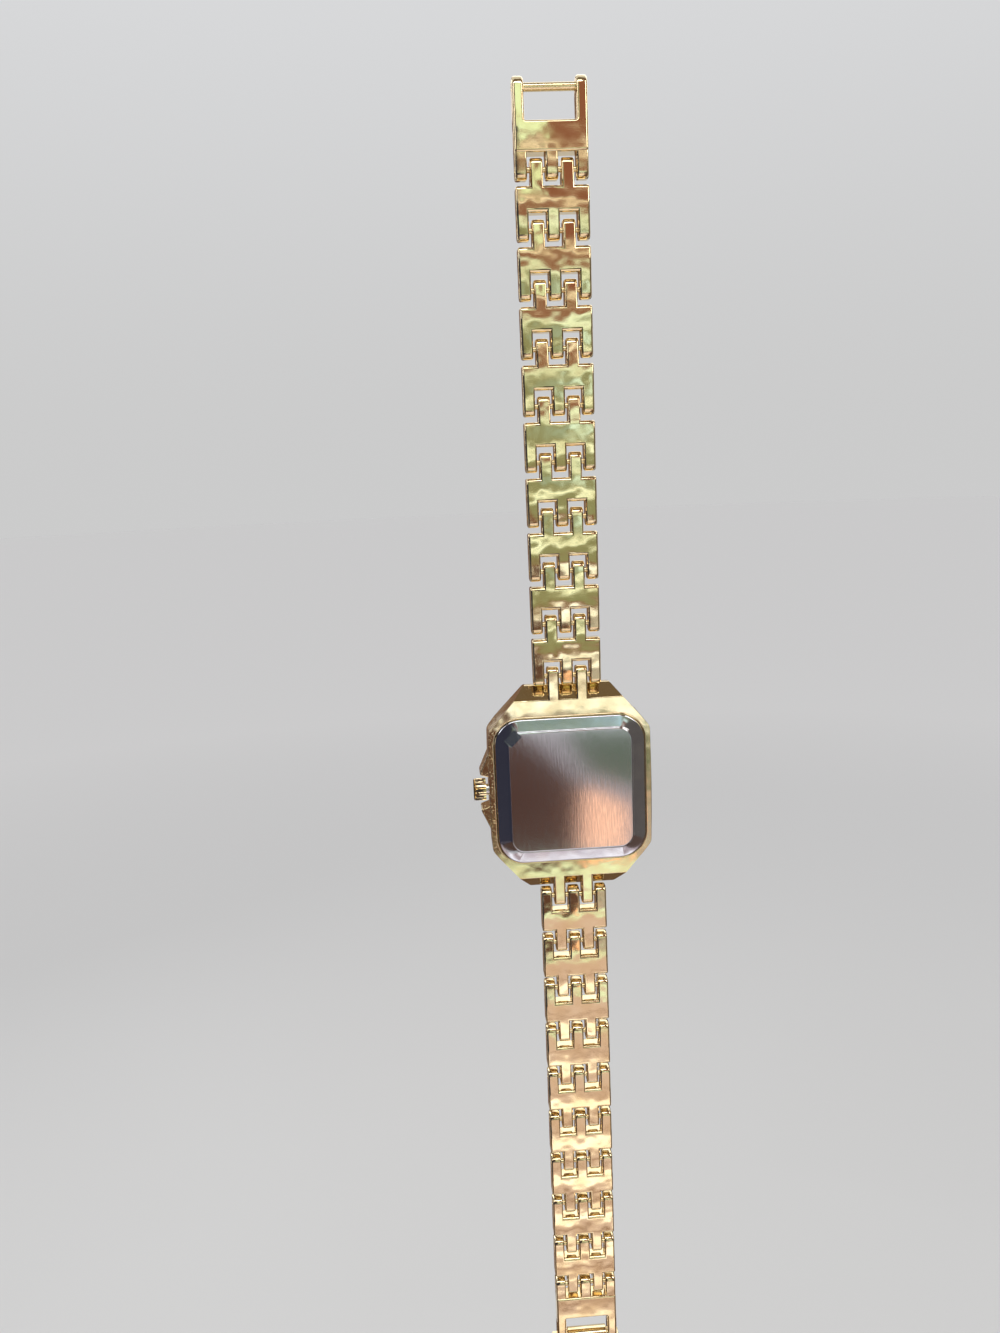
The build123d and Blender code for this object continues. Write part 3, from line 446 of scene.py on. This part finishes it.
quarter = [
    (lug_half, lug_end), (shoulder, shoulder_end), (flank - bow_end, flank_end),
    (flank - bow_middle, bow_height),
]
right = quarter + [(flank, 0)] + [(x, -z) for x, z in reversed(quarter)]
outline = right + [(-x, z) for x, z in reversed(right)]
lug_corners, shoulders = [0, 8, 9, 17], [1, 2, 6, 7, 10, 11, 15, 16]
case = plate(outline, back_face, case_front, [(lug_round, lug_corners), (shoulder_round, shoulders)])
# The long edges of the flanks and shoulders, and not those of the lugs' ends.
side_edges = [
    edge for edge in case.edges
    if abs(edge.verts[0].co.y - edge.verts[1].co.y) < 0.001
    and abs(edge.verts[0].co.x + edge.verts[1].co.x) > 1
    and all(abs(vert.co.z) < lug_end - 0.5 for vert in edge.verts)
]
bmesh.ops.bevel(
    case, geom=side_edges, offset=flank_round, offset_type="OFFSET", segments=4, profile=0.5,
    affect="EDGES", clamp_overlap=True, material=-1,
)
crease = 0.03
slope_run = lug_end - lug_slope_start
for side in (1, -1):
    bevel_way = Vector((0, -1, side)).normalized()
    slope_way = Vector((0, slope_run, side * lug_drop)).normalized()
    bevel_top = Vector((0, back_face, side * (lug_end - lug_bevel)))
    slope_top = Vector((0, case_front, side * lug_slope_start))
    slice_off(case, bevel_top, bevel_way)
    slice_off(case, slope_top, slope_way)
    end_way = Vector((0, 0, side))
    for corner, one, other in (
        (bevel_top, bevel_way, Vector((0, -1, 0))),
        (Vector((0, back_face + lug_bevel, side * lug_end)), bevel_way, end_way),
        (Vector((0, case_front - lug_drop, side * lug_end)), slope_way, end_way),
        (slope_top, slope_way, Vector((0, 1, 0))),
    ):
        way = (one + other).normalized()
        slice_off(case, corner - way * crease, way)
join(case, slab(well_side, well_corner, back_face - beyond, well_floor), "DIFFERENCE")
join(case, slab(window_side, window_corner, window_start, case_front + beyond), "DIFFERENCE")
opening = slab(rim_side, rim_corner, back_face - beyond, back_face)
narrow(opening, True, ((0.16, 0.04), (0.09, 0.07), (0.05, 0.14)))
join(case, opening, "DIFFERENCE")
guard_outline = [(-10.0, 6.0), (-10.7, 6.0), (-12.27, 2.45), (-10.7, 1.95), (-10.0, 1.95)]
prong_root = 10.9
for side in (1, -1):
    corners = [(x, side * z) for x, z in guard_outline]
    guard = plate(corners, guard_back, guard_front, [(guard_tip_round, [2])])
    soften(guard, guard_round)
    join(case, guard, "UNION")
    for centre in (-inner_finger, inner_finger):
        join(case, finger(centre, finger_width, side * lug_row, side * prong_root), "UNION")
case_gold = plated("case_gold", pale_gold, deep_gold, 0.09, 0.03, 0.022, 0.25, rough_side=9.7)
finished("case_casting", case, "case", [case_gold], ["case_middle"])

# The case back: a square lid pressed from steel sheet. Its border slopes up to a raised middle,
# which is brushed lengthways, and a small notch at one corner takes the opening knife.
lid_side, lid_corner, lid_start, lid_end = 20.0, 3.5, 0.55, 1.05
rim_steps, border_step = ((0.06, 0.05), (0.08, 0.03)), (1.30, 0.24)
middle_steps = ((0.10, 0.06), (0.05, 0.06), (0.06, 0.05), (0.10, 0.04), (0.08, 0.02))
collar_steps = ((1.55, 0), (0.001, 0.9), (0.45, 0), (0.001, -1.4))
notch_half, notch_low, notch_high, notch_start, notch_end = 1.0, -0.45, 0.9, -0.4, 0.24
notch_at, notch_tilt, notch_turn = 7.47, radians(-9), radians(-45)
lid = slab(lid_side, lid_corner, lid_start, lid_end)
narrow(lid, False, (*rim_steps, border_step, *middle_steps))
narrow(lid, True, collar_steps)
corners = [
    (-notch_half, notch_low), (notch_half, notch_low), (notch_half, notch_high), (-notch_half, notch_high)
]
knife_notch = plate(corners, notch_start, notch_end)
for angle, axis in ((notch_tilt, "X"), (notch_turn, "Y")):
    bmesh.ops.rotate(knife_notch, verts=knife_notch.verts, matrix=Matrix.Rotation(angle, 3, axis))
bmesh.ops.translate(knife_notch, vec=(-notch_at, 0, notch_at), verts=knife_notch.verts)
join(lid, knife_notch, "DIFFERENCE")


def brushed(name, light, dark, roughness, length, width, depth):
    """Brushed metal: long fine scratches that run up and down the piece, sizes in millimetres."""
    finish, tree, surface, where = blank(name, 1)
    stretch = tree.nodes.new("ShaderNodeMapping")
    stretch.inputs["Scale"].default_value = (1000 / width, 1000 / width, 1000 / length)
    tree.links.new(where.outputs["Object"], stretch.inputs["Vector"])
    scratches = noise(tree, stretch.outputs[0], 1, 5)
    scratches.node.inputs["Roughness"].default_value = 0.65
    polish = remap(tree, scratches, 0.35, 0.65, roughness * 1.3, roughness * 0.8)
    tree.links.new(shaded(tree, scratches, 0.35, 0.65, dark, light), surface.inputs["Base Color"])
    tree.links.new(polish, surface.inputs["Roughness"])
    tree.links.new(relief(tree, scratches, depth).outputs[0], surface.inputs["Normal"])
    return finish


border_steel = plated("border_steel", (0.64, 0.65, 0.68, 1), (0.52, 0.53, 0.58, 1), 0.10, 0.015, 0.002)
middle_steel = brushed(
    "middle_steel", (0.66, 0.64, 0.64, 1), (0.54, 0.52, 0.52, 1), 0.075, 2.2, 0.2, 0.0016
)
for face in lid.faces:
    if face.normal.y < -0.99 and face.calc_center_median().y < 0.05:
        face.material_index = 1
finished("case_lid", lid, "case", [border_steel, middle_steel], ["caseback"])

# The crown: a turned brass knob with coarse flutes and a domed end, gold plated. It is hollow
# round the tube, and the stem is screwed into its cap.
crown_axis, crown_foot, crown_end, crown_radius, crown_dome = 3.05, 11.42, 13.12, 1.5, 0.24
crown_segments, flute_segments, flute_shape = 96, 6, {0: 0.86, 1: 0.89, 5: 0.89}
crown_wall, crown_hollow = 0.42, 1.15
grip = crown_end - crown_foot - crown_dome
crown = bmesh.new()
bmesh.ops.create_cone(
    crown, cap_ends=True, segments=crown_segments, radius1=crown_radius, radius2=crown_radius,
    depth=grip,
)
bmesh.ops.translate(crown, vec=(0, 0, grip / 2), verts=crown.verts)
for vert in crown.verts:
    step = round(atan2(vert.co.y, vert.co.x) / (2 * pi / crown_segments)) % flute_segments
    share = flute_shape.get(step, 1)
    bmesh.ops.scale(crown, vec=(share, share, 1), verts=[vert])
cap = max(crown.faces, key=lambda face: face.calc_center_median().z)
for inset, rise in ((0.06, 0.08), (0.12, 0.07), (0.25, 0.05), (0.4, 0.03), (0.4, 0.01)):
    bmesh.ops.inset_region(crown, faces=[cap], thickness=inset, depth=rise, use_even_offset=True)
foot = min(crown.faces, key=lambda face: face.calc_center_median().z)
for inset, rise in ((crown_wall, 0), (0.001, -crown_hollow)):
    bmesh.ops.inset_region(crown, faces=[foot], thickness=inset, depth=rise, use_even_offset=True)
bmesh.ops.rotate(crown, verts=crown.verts, matrix=Matrix.Rotation(radians(-90), 3, "Y"))
bmesh.ops.translate(crown, vec=(-crown_foot, crown_axis, 0), verts=crown.verts)
crown_gold = plated("crown_gold", pale_gold, deep_gold, 0.13, 0.01, 0.002)
finished("crown_knob", crown, "crown", [crown_gold], ["crown"])

# The bracelet's links: cast brass, plated and tumbled, so that every edge is soft. Each has a
# bar with three fingers towards the case and two away from it, which lace with the next link.
pitch, strap_rows, half_strap = 6.95, 9, 4.5
bar_start, bar_end = 1.925, 5.025
link_round, bar_round_times = 0.26, 1.9
link_gold = plated("link_gold", pale_gold, deep_gold, 0.09, 0.10, 0.002, pillow=(6, 11))


def cast_link(near, side):
    """One link, from its pin nearer to the case to the pin beyond it."""
    start, end = near + side * bar_start, near + side * bar_end
    corners = [(strap_back, start), (strap_back, end), (strap_front, end), (strap_front, start)]
    shape = rail(corners, -half_strap, half_strap)
    soften(
        shape, link_round, 4,
        lambda edge: abs(edge.verts[0].co.x - edge.verts[1].co.x) > 1, bar_round_times,
    )
    root = (start + end) / 2
    for pin, centres, width in (
        (near, (-outer_finger, outer_finger), outer_finger_width),
        (near, (0,), finger_width),
        (near + side * pitch, (-inner_finger, inner_finger), finger_width),
    ):
        for centre in centres:
            join(shape, finger(centre, width, pin, root), "UNION")
    return shape


for strap, side in (("upper", 1), ("lower", -1)):
    pattern = cast_link(side * lug_row, side)
    for number in range(1, strap_rows + 1):
        link = pattern.copy()
        bmesh.ops.translate(link, vec=(0, 0, side * pitch * (number - 1)), verts=link.verts)
        name = f"{strap}_link_{number}"
        middle = side * (lug_row + pitch * (number - 0.5))
        finished(f"{name}_cast", link, name, [link_gold], [name], middle)
    pattern.free()

# The link pins: plain drawn wire with rounded ends, pressed through the fingers.
pin_radius, pin_half, pin_round = 0.35, 4.42, 0.1
pin_gold = plated("pin_gold", pale_gold, deep_gold, 0.16, 0.01, 0.002)


def gather(whole, part):
    """Puts a part beside the others that make one piece with it."""
    drawn = bpy.data.meshes.new("part")
    part.to_mesh(drawn)
    part.free()
    whole.from_mesh(drawn)


def wire_pins(heights):
    """Pins across the strap at these heights, as one piece."""
    shape = bmesh.new()
    for up in heights:
        pin = rod(pin_radius, -pin_half, pin_half, strap_level, up, 24)
        soften(pin, pin_round)
        gather(shape, pin)
    return shape


top_row = lug_row + pitch * strap_rows
for strap, side in (("upper", 1), ("lower", -1)):
    for number in range(2, strap_rows + 1, 2):
        heights = [side * (lug_row + pitch * (number - 1)), side * (lug_row + pitch * number)]
        finished(
            f"{strap}_pins_{number}_wire", wire_pins(heights), f"{strap}_link_{number}",
            [pin_gold], [f"{strap}_pins_{number}"],
        )
for name, body, heights in (
    ("case_pins", "case", [lug_row, -lug_row]),
    ("bracket_pin", "clasp_bracket", [top_row]),
    ("end_frame_pin", "end_frame", [-top_row]),
):
    finished(f"{name}_wire", wire_pins(heights), body, [pin_gold], [name])

# The clasp's bracket and the end frame: two castings from one mould, each a plate with three
# fingers for the last link and two arms that hold a cross bar.
plate_back, plate_front, plate_start, plate_end, bar_reach = 0.65, 3.05, 1.75, 5.3, 9.2
arm_inner, arm_round, bar_radius, bracket_round, window_round = 3.15, 1.2, 0.5, 0.32, 0.2
bar_play, bar_round, trim, arm_steps = 0.01, 0.12, 0.5, 15
bracket_gold = plated("bracket_gold", pale_gold, deep_gold, 0.10, 0.08, 0.002, pillow=(9, 6))
for name, bar_name, side in (("clasp_bracket", "catch_bar", 1), ("end_frame", "hinge_bar", -1)):
    row = side * top_row
    start, end = row + side * plate_start, row + side * plate_end
    bar_height = row + side * bar_reach
    top_at = bar_height + side * arm_round
    shape = plate(
        [
            (-half_strap, start), (half_strap, start), (half_strap, top_at), (arm_inner, top_at),
            (arm_inner, end), (-arm_inner, end), (-arm_inner, top_at), (-half_strap, top_at),
        ],
        plate_back - trim, plate_front + trim, [(window_round, [4, 5])],
    )
    turns = [pi - pi * n / arm_steps for n in range(arm_steps + 1)]
    arm_end = [
        (strap_level + arm_round * cos(turn), bar_height + side * arm_round * sin(turn))
        for turn in turns
    ]
    profile = [(plate_back, start), *arm_end, (plate_front, start)]
    join(shape, rail(profile, -well_clear, well_clear), "INTERSECT")
    soften(shape, bracket_round, 4)
    bore = rod(bar_radius + bar_play, -well_clear, well_clear, strap_level, bar_height)
    join(shape, bore, "DIFFERENCE")
    middle = (start + end) / 2
    for centre, width in (
        (-outer_finger, outer_finger_width), (0, finger_width), (outer_finger, outer_finger_width),
    ):
        join(shape, finger(centre, width, row, middle), "UNION")
    finished(f"{name}_cast", shape, name, [bracket_gold], [name], middle)
    bar = rod(bar_radius, -pin_half, pin_half, strap_level, bar_height)
    soften(bar, bar_round)
    finished(f"{bar_name}_wire", bar, name, [pin_gold], [bar_name])

# The hook blade: a strip of brass sheet whose ends are curled into knuckles, one round the end
# frame's bar and one round the cover's pin.
sheet_back, sheet_front, knuckle, blade_half, tongue_half = 0.75, 1.35, 1.1, 4.5, 2.95
cover_row, knuckle_bore, cover_pin_radius = bar_reach + 15.0, 0.55, 0.4
bar_at, cover_at = -(top_row + bar_reach), -(top_row + cover_row)
strip_top, strip_foot, strip_corner, strip_round, curl_round = bar_at - 1.7, cover_at + 1.6, 0.5, 0.12, 0.1
inset, tongue_overlap, seam_near, seam_far, seam_start, seam_end = 0.01, 2, 0.01, 0.09, 0.7, 1.5
corners = [
    (-blade_half, strip_top), (blade_half, strip_top), (blade_half, strip_foot), (-blade_half, strip_foot)
]
blade = plate(corners, sheet_back, sheet_front, [(strip_corner, range(4))])
soften(blade, strip_round)
for pin_at, far_end, bore in (
    (bar_at, strip_top - tongue_overlap, knuckle_bore),
    (cover_at, strip_foot + tongue_overlap, cover_pin_radius + inset),
):
    inward = 1 if far_end > pin_at else -1
    back, front = sheet_back + inset, sheet_front - inset
    corners = [(back, pin_at), (back, far_end), (front, far_end), (front, pin_at)]
    tongue = rail(corners, -tongue_half, tongue_half)
    curl = rod(knuckle, -tongue_half + inset, tongue_half - inset, strap_level, pin_at, 48)
    soften(curl, curl_round)
    join(tongue, curl, "UNION")
    near, far = sheet_front + seam_near, sheet_front + seam_far
    low, high = pin_at + inward * seam_start, pin_at + inward * seam_end
    seam = [(near, low), (far, low), (far, high), (near, high)]
    join(tongue, rail(seam, -well_clear, well_clear), "DIFFERENCE")
    join(tongue, rod(bore, -well_clear, well_clear, strap_level, pin_at), "DIFFERENCE")
    join(blade, tongue, "UNION")
blade_gold = plated("blade_gold", pale_gold, deep_gold, 0.13, 0.03, 0.003)
finished("hook_blade_strip", blade, "hook_blade", [blade_gold], ["hook_blade"])
cover_pin_half = 5.02
cover_wire = rod(cover_pin_radius, -cover_pin_half, cover_pin_half, strap_level, cover_at, 24)
soften(cover_wire, pin_round)
finished("cover_pin_wire", cover_wire, "hook_blade", [pin_gold], ["cover_pin"])

# The clasp's cover: brass sheet bent to a channel that folds over the blade, polished outside,
# with the hook for the catch bar soldered inside.
cover_half, cover_wall, cover_fold, cover_round, cover_pin_play = 5.1, 0.5, 0.6, 0.12, 0.05
cover_back, cover_front, cover_low, cover_high = 0.75, 4.45, cover_at + 1.1, bar_at - 1.6
ear_length, ear_step, inside_low, inside_start = 1.1, 0.002, cover_at - 3, -1
corners = [
    (-cover_half, cover_low), (cover_half, cover_low), (cover_half, cover_high), (-cover_half, cover_high)
]
cover = plate(corners, cover_back, cover_front)
soften(
    cover, cover_round, 5,
    lambda edge: min(vert.co.y for vert in edge.verts) > cover_front - 0.01
    and abs(edge.verts[0].co.z - edge.verts[1].co.z) > 1,
    cover_fold / cover_round,
)
inside = cover_half - cover_wall
back, front, ear_end = strap_level - knuckle, strap_level + knuckle, cover_low + ear_length
ear_square = [(back, cover_at), (back, ear_end), (front, ear_end), (front, cover_at)]
for low, high in ((-cover_half + inset, -inside - inset), (inside + inset, cover_half - inset)):
    ear = rod(knuckle, low, high, strap_level, cover_at, 48)
    join(ear, rail(ear_square, low + ear_step, high - ear_step), "UNION")
    join(cover, ear, "UNION")
corners = [(-inside, inside_low), (inside, inside_low), (inside, bar_at), (-inside, bar_at)]
join(cover, plate(corners, inside_start, cover_front - cover_wall), "DIFFERENCE")
reach = 2 * well_clear
bore = rod(cover_pin_radius + cover_pin_play, -reach, reach, strap_level, cover_at)
join(cover, bore, "DIFFERENCE")
hook_half, hook_foot, hook_tip, hook_bend, hook_round = 2.0, cover_at + 3.35, cover_at + 5.35, 0.3, 0.08
hook_inner, hook_outer, hook_root = 1.45, 1.95, cover_front - cover_wall + 0.2
hook_top = hook_foot + cover_wall
corners = [
    (hook_inner, hook_foot), (hook_inner, hook_tip), (hook_outer, hook_tip), (hook_outer, hook_top),
    (hook_root, hook_top), (hook_root, hook_foot),
]
hook = rail(corners, -hook_half, hook_half, [(hook_bend, [0])])
soften(hook, hook_round)
join(cover, hook, "UNION")
cover_gold = plated("cover_gold", pale_gold, deep_gold, 0.08, 0.03, 0.002)
finished("clasp_cover_channel", cover, "clasp_cover", [cover_gold], ["clasp_cover"])

# The bezel: a turned and polished brass frame with a domed edge, pressed on the case's front.
# The crystal sits in it in a thin seal.
bezel_front, bezel_side, bezel_corner, bezel_dome = 6.95, 19.6, 3.6, 0.9
seat_side, seat_corner, seat_depth = 16.54, 2.92, 6.0
bezel = slab(bezel_side, bezel_corner, case_front, bezel_front - bezel_dome)
narrow(bezel, True, ((0.10, 0.25), (0.16, 0.25), (0.24, 0.20), (0.20, 0.11), (0.20, 0.07), (0.25, 0.02)))
window = slab(window_side, window_corner, case_front - beyond, bezel_front + beyond)
join(bezel, window, "DIFFERENCE")
join(bezel, slab(seat_side, seat_corner, seat_depth, bezel_front + beyond), "DIFFERENCE")
bezel_gold = plated("bezel_gold", pale_gold, deep_gold, 0.07, 0.01, 0.001)
finished("bezel_frame", bezel, "case", [bezel_gold], ["bezel"])

# The crystal: a flat square of mineral glass with a ground edge, a little proud of the bezel.
crystal_side, crystal_corner, crystal_edge = 15.9, 2.6, 6.85
crystal = slab(crystal_side, crystal_corner, seat_depth, crystal_edge)
narrow(crystal, True, ((0.07, 0.12), (0.15, 0.08)))
clear, tree, surface, where = blank("mineral_glass", 0)
surface.inputs["Base Color"].default_value = (0.97, 0.985, 0.98, 1)
surface.inputs["Transmission Weight"].default_value = 1
surface.inputs["IOR"].default_value = 1.5
smears = noise(tree, where.outputs["Object"], 240)
tree.links.new(remap(tree, smears, 0.45, 0.75, 0, 0.05), surface.inputs["Roughness"])
finished("crystal_pane", crystal, "case", [clear], ["crystal"])

# The dial: a lacquered brass disc, sunburst brushed from the middle under the lacquer. The frame
# holds its solid, and a printed minute track runs round its edge.
dial_face, track_inner, track_outer, ink_height = 4.85, 6.55, 7.05, 0.01
wide_tick, narrow_tick = 0.07, 0.03
lacquer, tree, surface, where = blank("dial_lacquer", 0.2)
surface.inputs["Coat Weight"].default_value = 0.4
apart = tree.nodes.new("ShaderNodeSeparateXYZ")
around, turns = tree.nodes.new("ShaderNodeMath"), tree.nodes.new("ShaderNodeMath")
around.operation, turns.operation = "ARCTAN2", "MULTIPLY"
turns.inputs[1].default_value = 60
rays = tree.nodes.new("ShaderNodeTexNoise")
rays.noise_dimensions = "1D"
rays.inputs["Scale"].default_value = 1
rays.inputs["Detail"].default_value = 4
tree.links.new(where.outputs["Object"], apart.inputs[0])
tree.links.new(apart.outputs["X"], around.inputs[0])
tree.links.new(apart.outputs["Z"], around.inputs[1])
tree.links.new(around.outputs[0], turns.inputs[0])
tree.links.new(turns.outputs[0], rays.inputs["W"])
tint = shaded(tree, rays.outputs[0], 0.3, 0.7, (0.80, 0.77, 0.70, 1), (0.90, 0.88, 0.82, 1))
tree.links.new(tint, surface.inputs["Base Color"])
tree.links.new(remap(tree, rays.outputs[0], 0, 1, 0.22, 0.42), surface.inputs["Roughness"])


def dress(node, finish):
    """Gives a solid of the frame its look."""
    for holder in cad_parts[node].material_slots:
        holder.link = "OBJECT"
        holder.material = finish


def mottled(name, light, dark, roughness, metallic, spot, grain, depth):
    """A plain material with faint spots and a fine grain, sizes in millimetres."""
    finish, tree, surface, where = blank(name, metallic)
    place = where.outputs["Object"]
    spots, grains = noise(tree, place, 1000 / spot), noise(tree, place, 1000 / grain)
    tint = shaded(tree, spots, 0.3, 0.7, (*dark, 1), (*light, 1))
    polish = remap(tree, grains, 0, 1, roughness * 0.8, roughness * 1.2)
    tree.links.new(tint, surface.inputs["Base Color"])
    tree.links.new(polish, surface.inputs["Roughness"])
    tree.links.new(relief(tree, grains, depth).outputs[0], surface.inputs["Normal"])
    return finish


def spoke(turn, near, far, half):
    """The corners of a bar on the dial that points away from its middle."""
    toward, beside = Vector((-sin(turn), cos(turn))), Vector((cos(turn), sin(turn)))
    return [
        tuple(toward * out + beside * half * hand)
        for out, hand in ((near, -1), (far, -1), (far, 1), (near, 1))
    ]


dress("dial", lacquer)
ink = mottled("track_ink", (0.07, 0.07, 0.08), (0.04, 0.04, 0.05), 0.4, 0, 0.4, 0.05, 0.001)
track = bmesh.new()
for minute in range(60):
    turn = radians(6 * minute)
    stretch = 1 / max(abs(sin(turn)), abs(cos(turn)))
    half = wide_tick if minute % 5 == 0 else narrow_tick
    corners = spoke(turn, track_inner * stretch, track_outer * stretch, half)
    gather(track, plate(corners, dial_face, dial_face + ink_height))
finished("minute_track", track, "case", [ink], [])

# The hour markers: solid brass batons with a bevelled top, plated and riveted to the dial, longer
# and wider at the quarters.
marker_top, marker_ring, marker_bevel = 4.97, 6.3, 0.07
quarter_marker, hour_marker = (1.9, 0.45), (1.3, 0.3)
markers = bmesh.new()
for hour in range(12):
    turn = radians(30 * hour)
    length, width = quarter_marker if hour % 3 == 0 else hour_marker
    reach = (marker_ring - length / 2) / max(abs(sin(turn)), abs(cos(turn)))
    corners = spoke(turn, reach - length / 2, reach + length / 2, width / 2)
    baton = plate(corners, dial_face, marker_top - marker_bevel)
    narrow(baton, True, ((marker_bevel, marker_bevel),))
    gather(markers, baton)
marker_gold = plated("marker_gold", (0.80, 0.60, 0.30, 1), (0.72, 0.51, 0.23, 1), 0.12, 0.004, 0.001)
finished("hour_batons", markers, "case", [marker_gold], ["hour_markers"])

# The hands: stamped brass, each with a ridge down its middle and a round hub, pressed on the
# hour wheel and the cannon pinion.
hand_half, hand_tail, hand_sheet, hub_bevel = 0.275, 1.1, 0.15, 0.03
hand_gold = plated("hand_gold", (0.82, 0.63, 0.32, 1), (0.74, 0.54, 0.25, 1), 0.09, 0.004, 0.001)


def disc(radius, thickness, middle):
    """A round disc on the hands' axis."""
    shape = bmesh.new()
    bmesh.ops.create_cone(
        shape, cap_ends=True, segments=48, radius1=radius, radius2=radius, depth=thickness
    )
    bmesh.ops.rotate(shape, verts=shape.verts, matrix=Matrix.Rotation(radians(90), 3, "X"))
    bmesh.ops.translate(shape, vec=(0, middle, 0), verts=shape.verts)
    return shape


for name, angle, length, foot, hub, bore in (
    ("hour_hand", 305, 3.7, 5.10, 1.15, 0.81),
    ("minute_hand", 60, 5.7, 5.45, 0.85, 0.51),
):
    turn = radians(angle)
    toward, beside = Vector((-sin(turn), 0, cos(turn))), Vector((cos(turn), 0, sin(turn)))
    pointer = bmesh.new()
    rims = []
    for along, half in ((-hub - hand_tail, hand_half / 2), (0, hand_half), (length, hand_half / 2)):
        points = [
            toward * along + beside * half * side + Vector((0, foot + hand_sheet * rise, 0))
            for side, rise in ((-1, 0), (-1, 0.5), (0, 0.98), (1, 0.5), (1, 0))
        ]
        rim = [pointer.verts.new(point) for point in points]
        rims.append([pointer.edges.new((rim[n - 1], rim[n])) for n in range(5)])
    for near_rim, far_rim in zip(rims, rims[1:]):
        bmesh.ops.bridge_loops(pointer, edges=near_rim + far_rim)
    bmesh.ops.holes_fill(pointer, edges=rims[0] + rims[-1])
    hub_sheet = hand_sheet - hub_bevel
    boss = disc(hub, hub_sheet, foot + hub_sheet / 2)
    narrow(boss, True, ((hub_bevel, hub_bevel),))
    join(pointer, boss, "UNION")
    join(pointer, disc(bore, 1, foot), "DIFFERENCE")
    finished(f"{name}_pointer", pointer, name, [hand_gold], [name])

# The seals: moulded black rubber round the crystal, inside the case back and in the crown.
rubber = mottled("seal_rubber", (0.07, 0.07, 0.07), (0.045, 0.045, 0.045), 0.6, 0, 1.0, 0.08, 0.006)
for node in ("crystal_gasket", "caseback_gasket", "crown_gasket"):
    dress(node, rubber)

# The winding parts and the battery: turned and stamped steel, plainly finished, and the cell's
# nickel-plated can.
part_steel = mottled("part_steel", (0.68, 0.68, 0.70), (0.58, 0.58, 0.61), 0.26, 1, 0.8, 0.06, 0.002)
cell_nickel = mottled("cell_nickel", (0.76, 0.76, 0.78), (0.68, 0.68, 0.70), 0.22, 1, 1.5, 0.12, 0.003)
for node in ("crown_tube", "stem", "setting_lever", "battery_clip"):
    dress(node, part_steel)
dress("battery", cell_nickel)

# The movement: milled brass plate, bridge and wheels, in a holder moulded from white plastic.
mill_brass = brushed("mill_brass", (0.74, 0.62, 0.38, 1), (0.66, 0.54, 0.31, 1), 0.24, 1.2, 0.12, 0.003)
white_plastic = mottled("holder_white", (0.87, 0.87, 0.85), (0.82, 0.82, 0.80), 0.45, 0, 2.0, 0.15, 0.006)
for node in ("movement_plate", "train_bridge", "hour_wheel", "cannon_pinion"):
    dress(node, mill_brass)
dress("movement_holder", white_plastic)

# The circuit board: green glass-fibre laminate, its copper tracks showing lighter through the
# lacquer, and beside it the step motor's coil of enamelled copper wire.
laminate = mottled("board_green", (0.12, 0.34, 0.19), (0.08, 0.24, 0.13), 0.35, 0, 0.5, 0.1, 0.004)
tree = laminate.node_tree
weave, surface = tree.nodes, tree.nodes["Principled BSDF"]
tracks = weave.new("ShaderNodeTexWave")
tracks.bands_direction = "Z"
tracks.inputs["Scale"].default_value = 260
tracks.inputs["Distortion"].default_value = 3
tracks.inputs["Detail Scale"].default_value = 0.4
lighter = weave.new("ShaderNodeMix")
lighter.data_type = "RGBA"
lighter.inputs["B"].default_value = (0.2, 0.5, 0.26, 1)
tree.links.new(weave["Texture Coordinate"].outputs["Object"], tracks.inputs["Vector"])
tree.links.new(remap(tree, tracks.outputs["Fac"], 0.6, 0.66), lighter.inputs["Factor"])
tree.links.new(weave["Color Ramp"].outputs[0], lighter.inputs["A"])
tree.links.new(lighter.outputs["Result"], surface.inputs["Base Color"])
dress("circuit_board", laminate)
copper = mottled("coil_copper", (0.75, 0.40, 0.21), (0.62, 0.30, 0.15), 0.28, 1, 0.6, 0.2, 0.002)
tree = copper.node_tree
winding, surface = tree.nodes, tree.nodes["Principled BSDF"]
windings = winding.new("ShaderNodeTexWave")
windings.bands_direction = "X"
windings.inputs["Scale"].default_value = 3200
tree.links.new(winding["Texture Coordinate"].outputs["Object"], windings.inputs["Vector"])
wound = relief(tree, windings.outputs["Fac"], 0.03, winding["Bump"].outputs[0])
tree.links.new(wound.outputs[0], surface.inputs["Normal"])
dress("coil", copper)
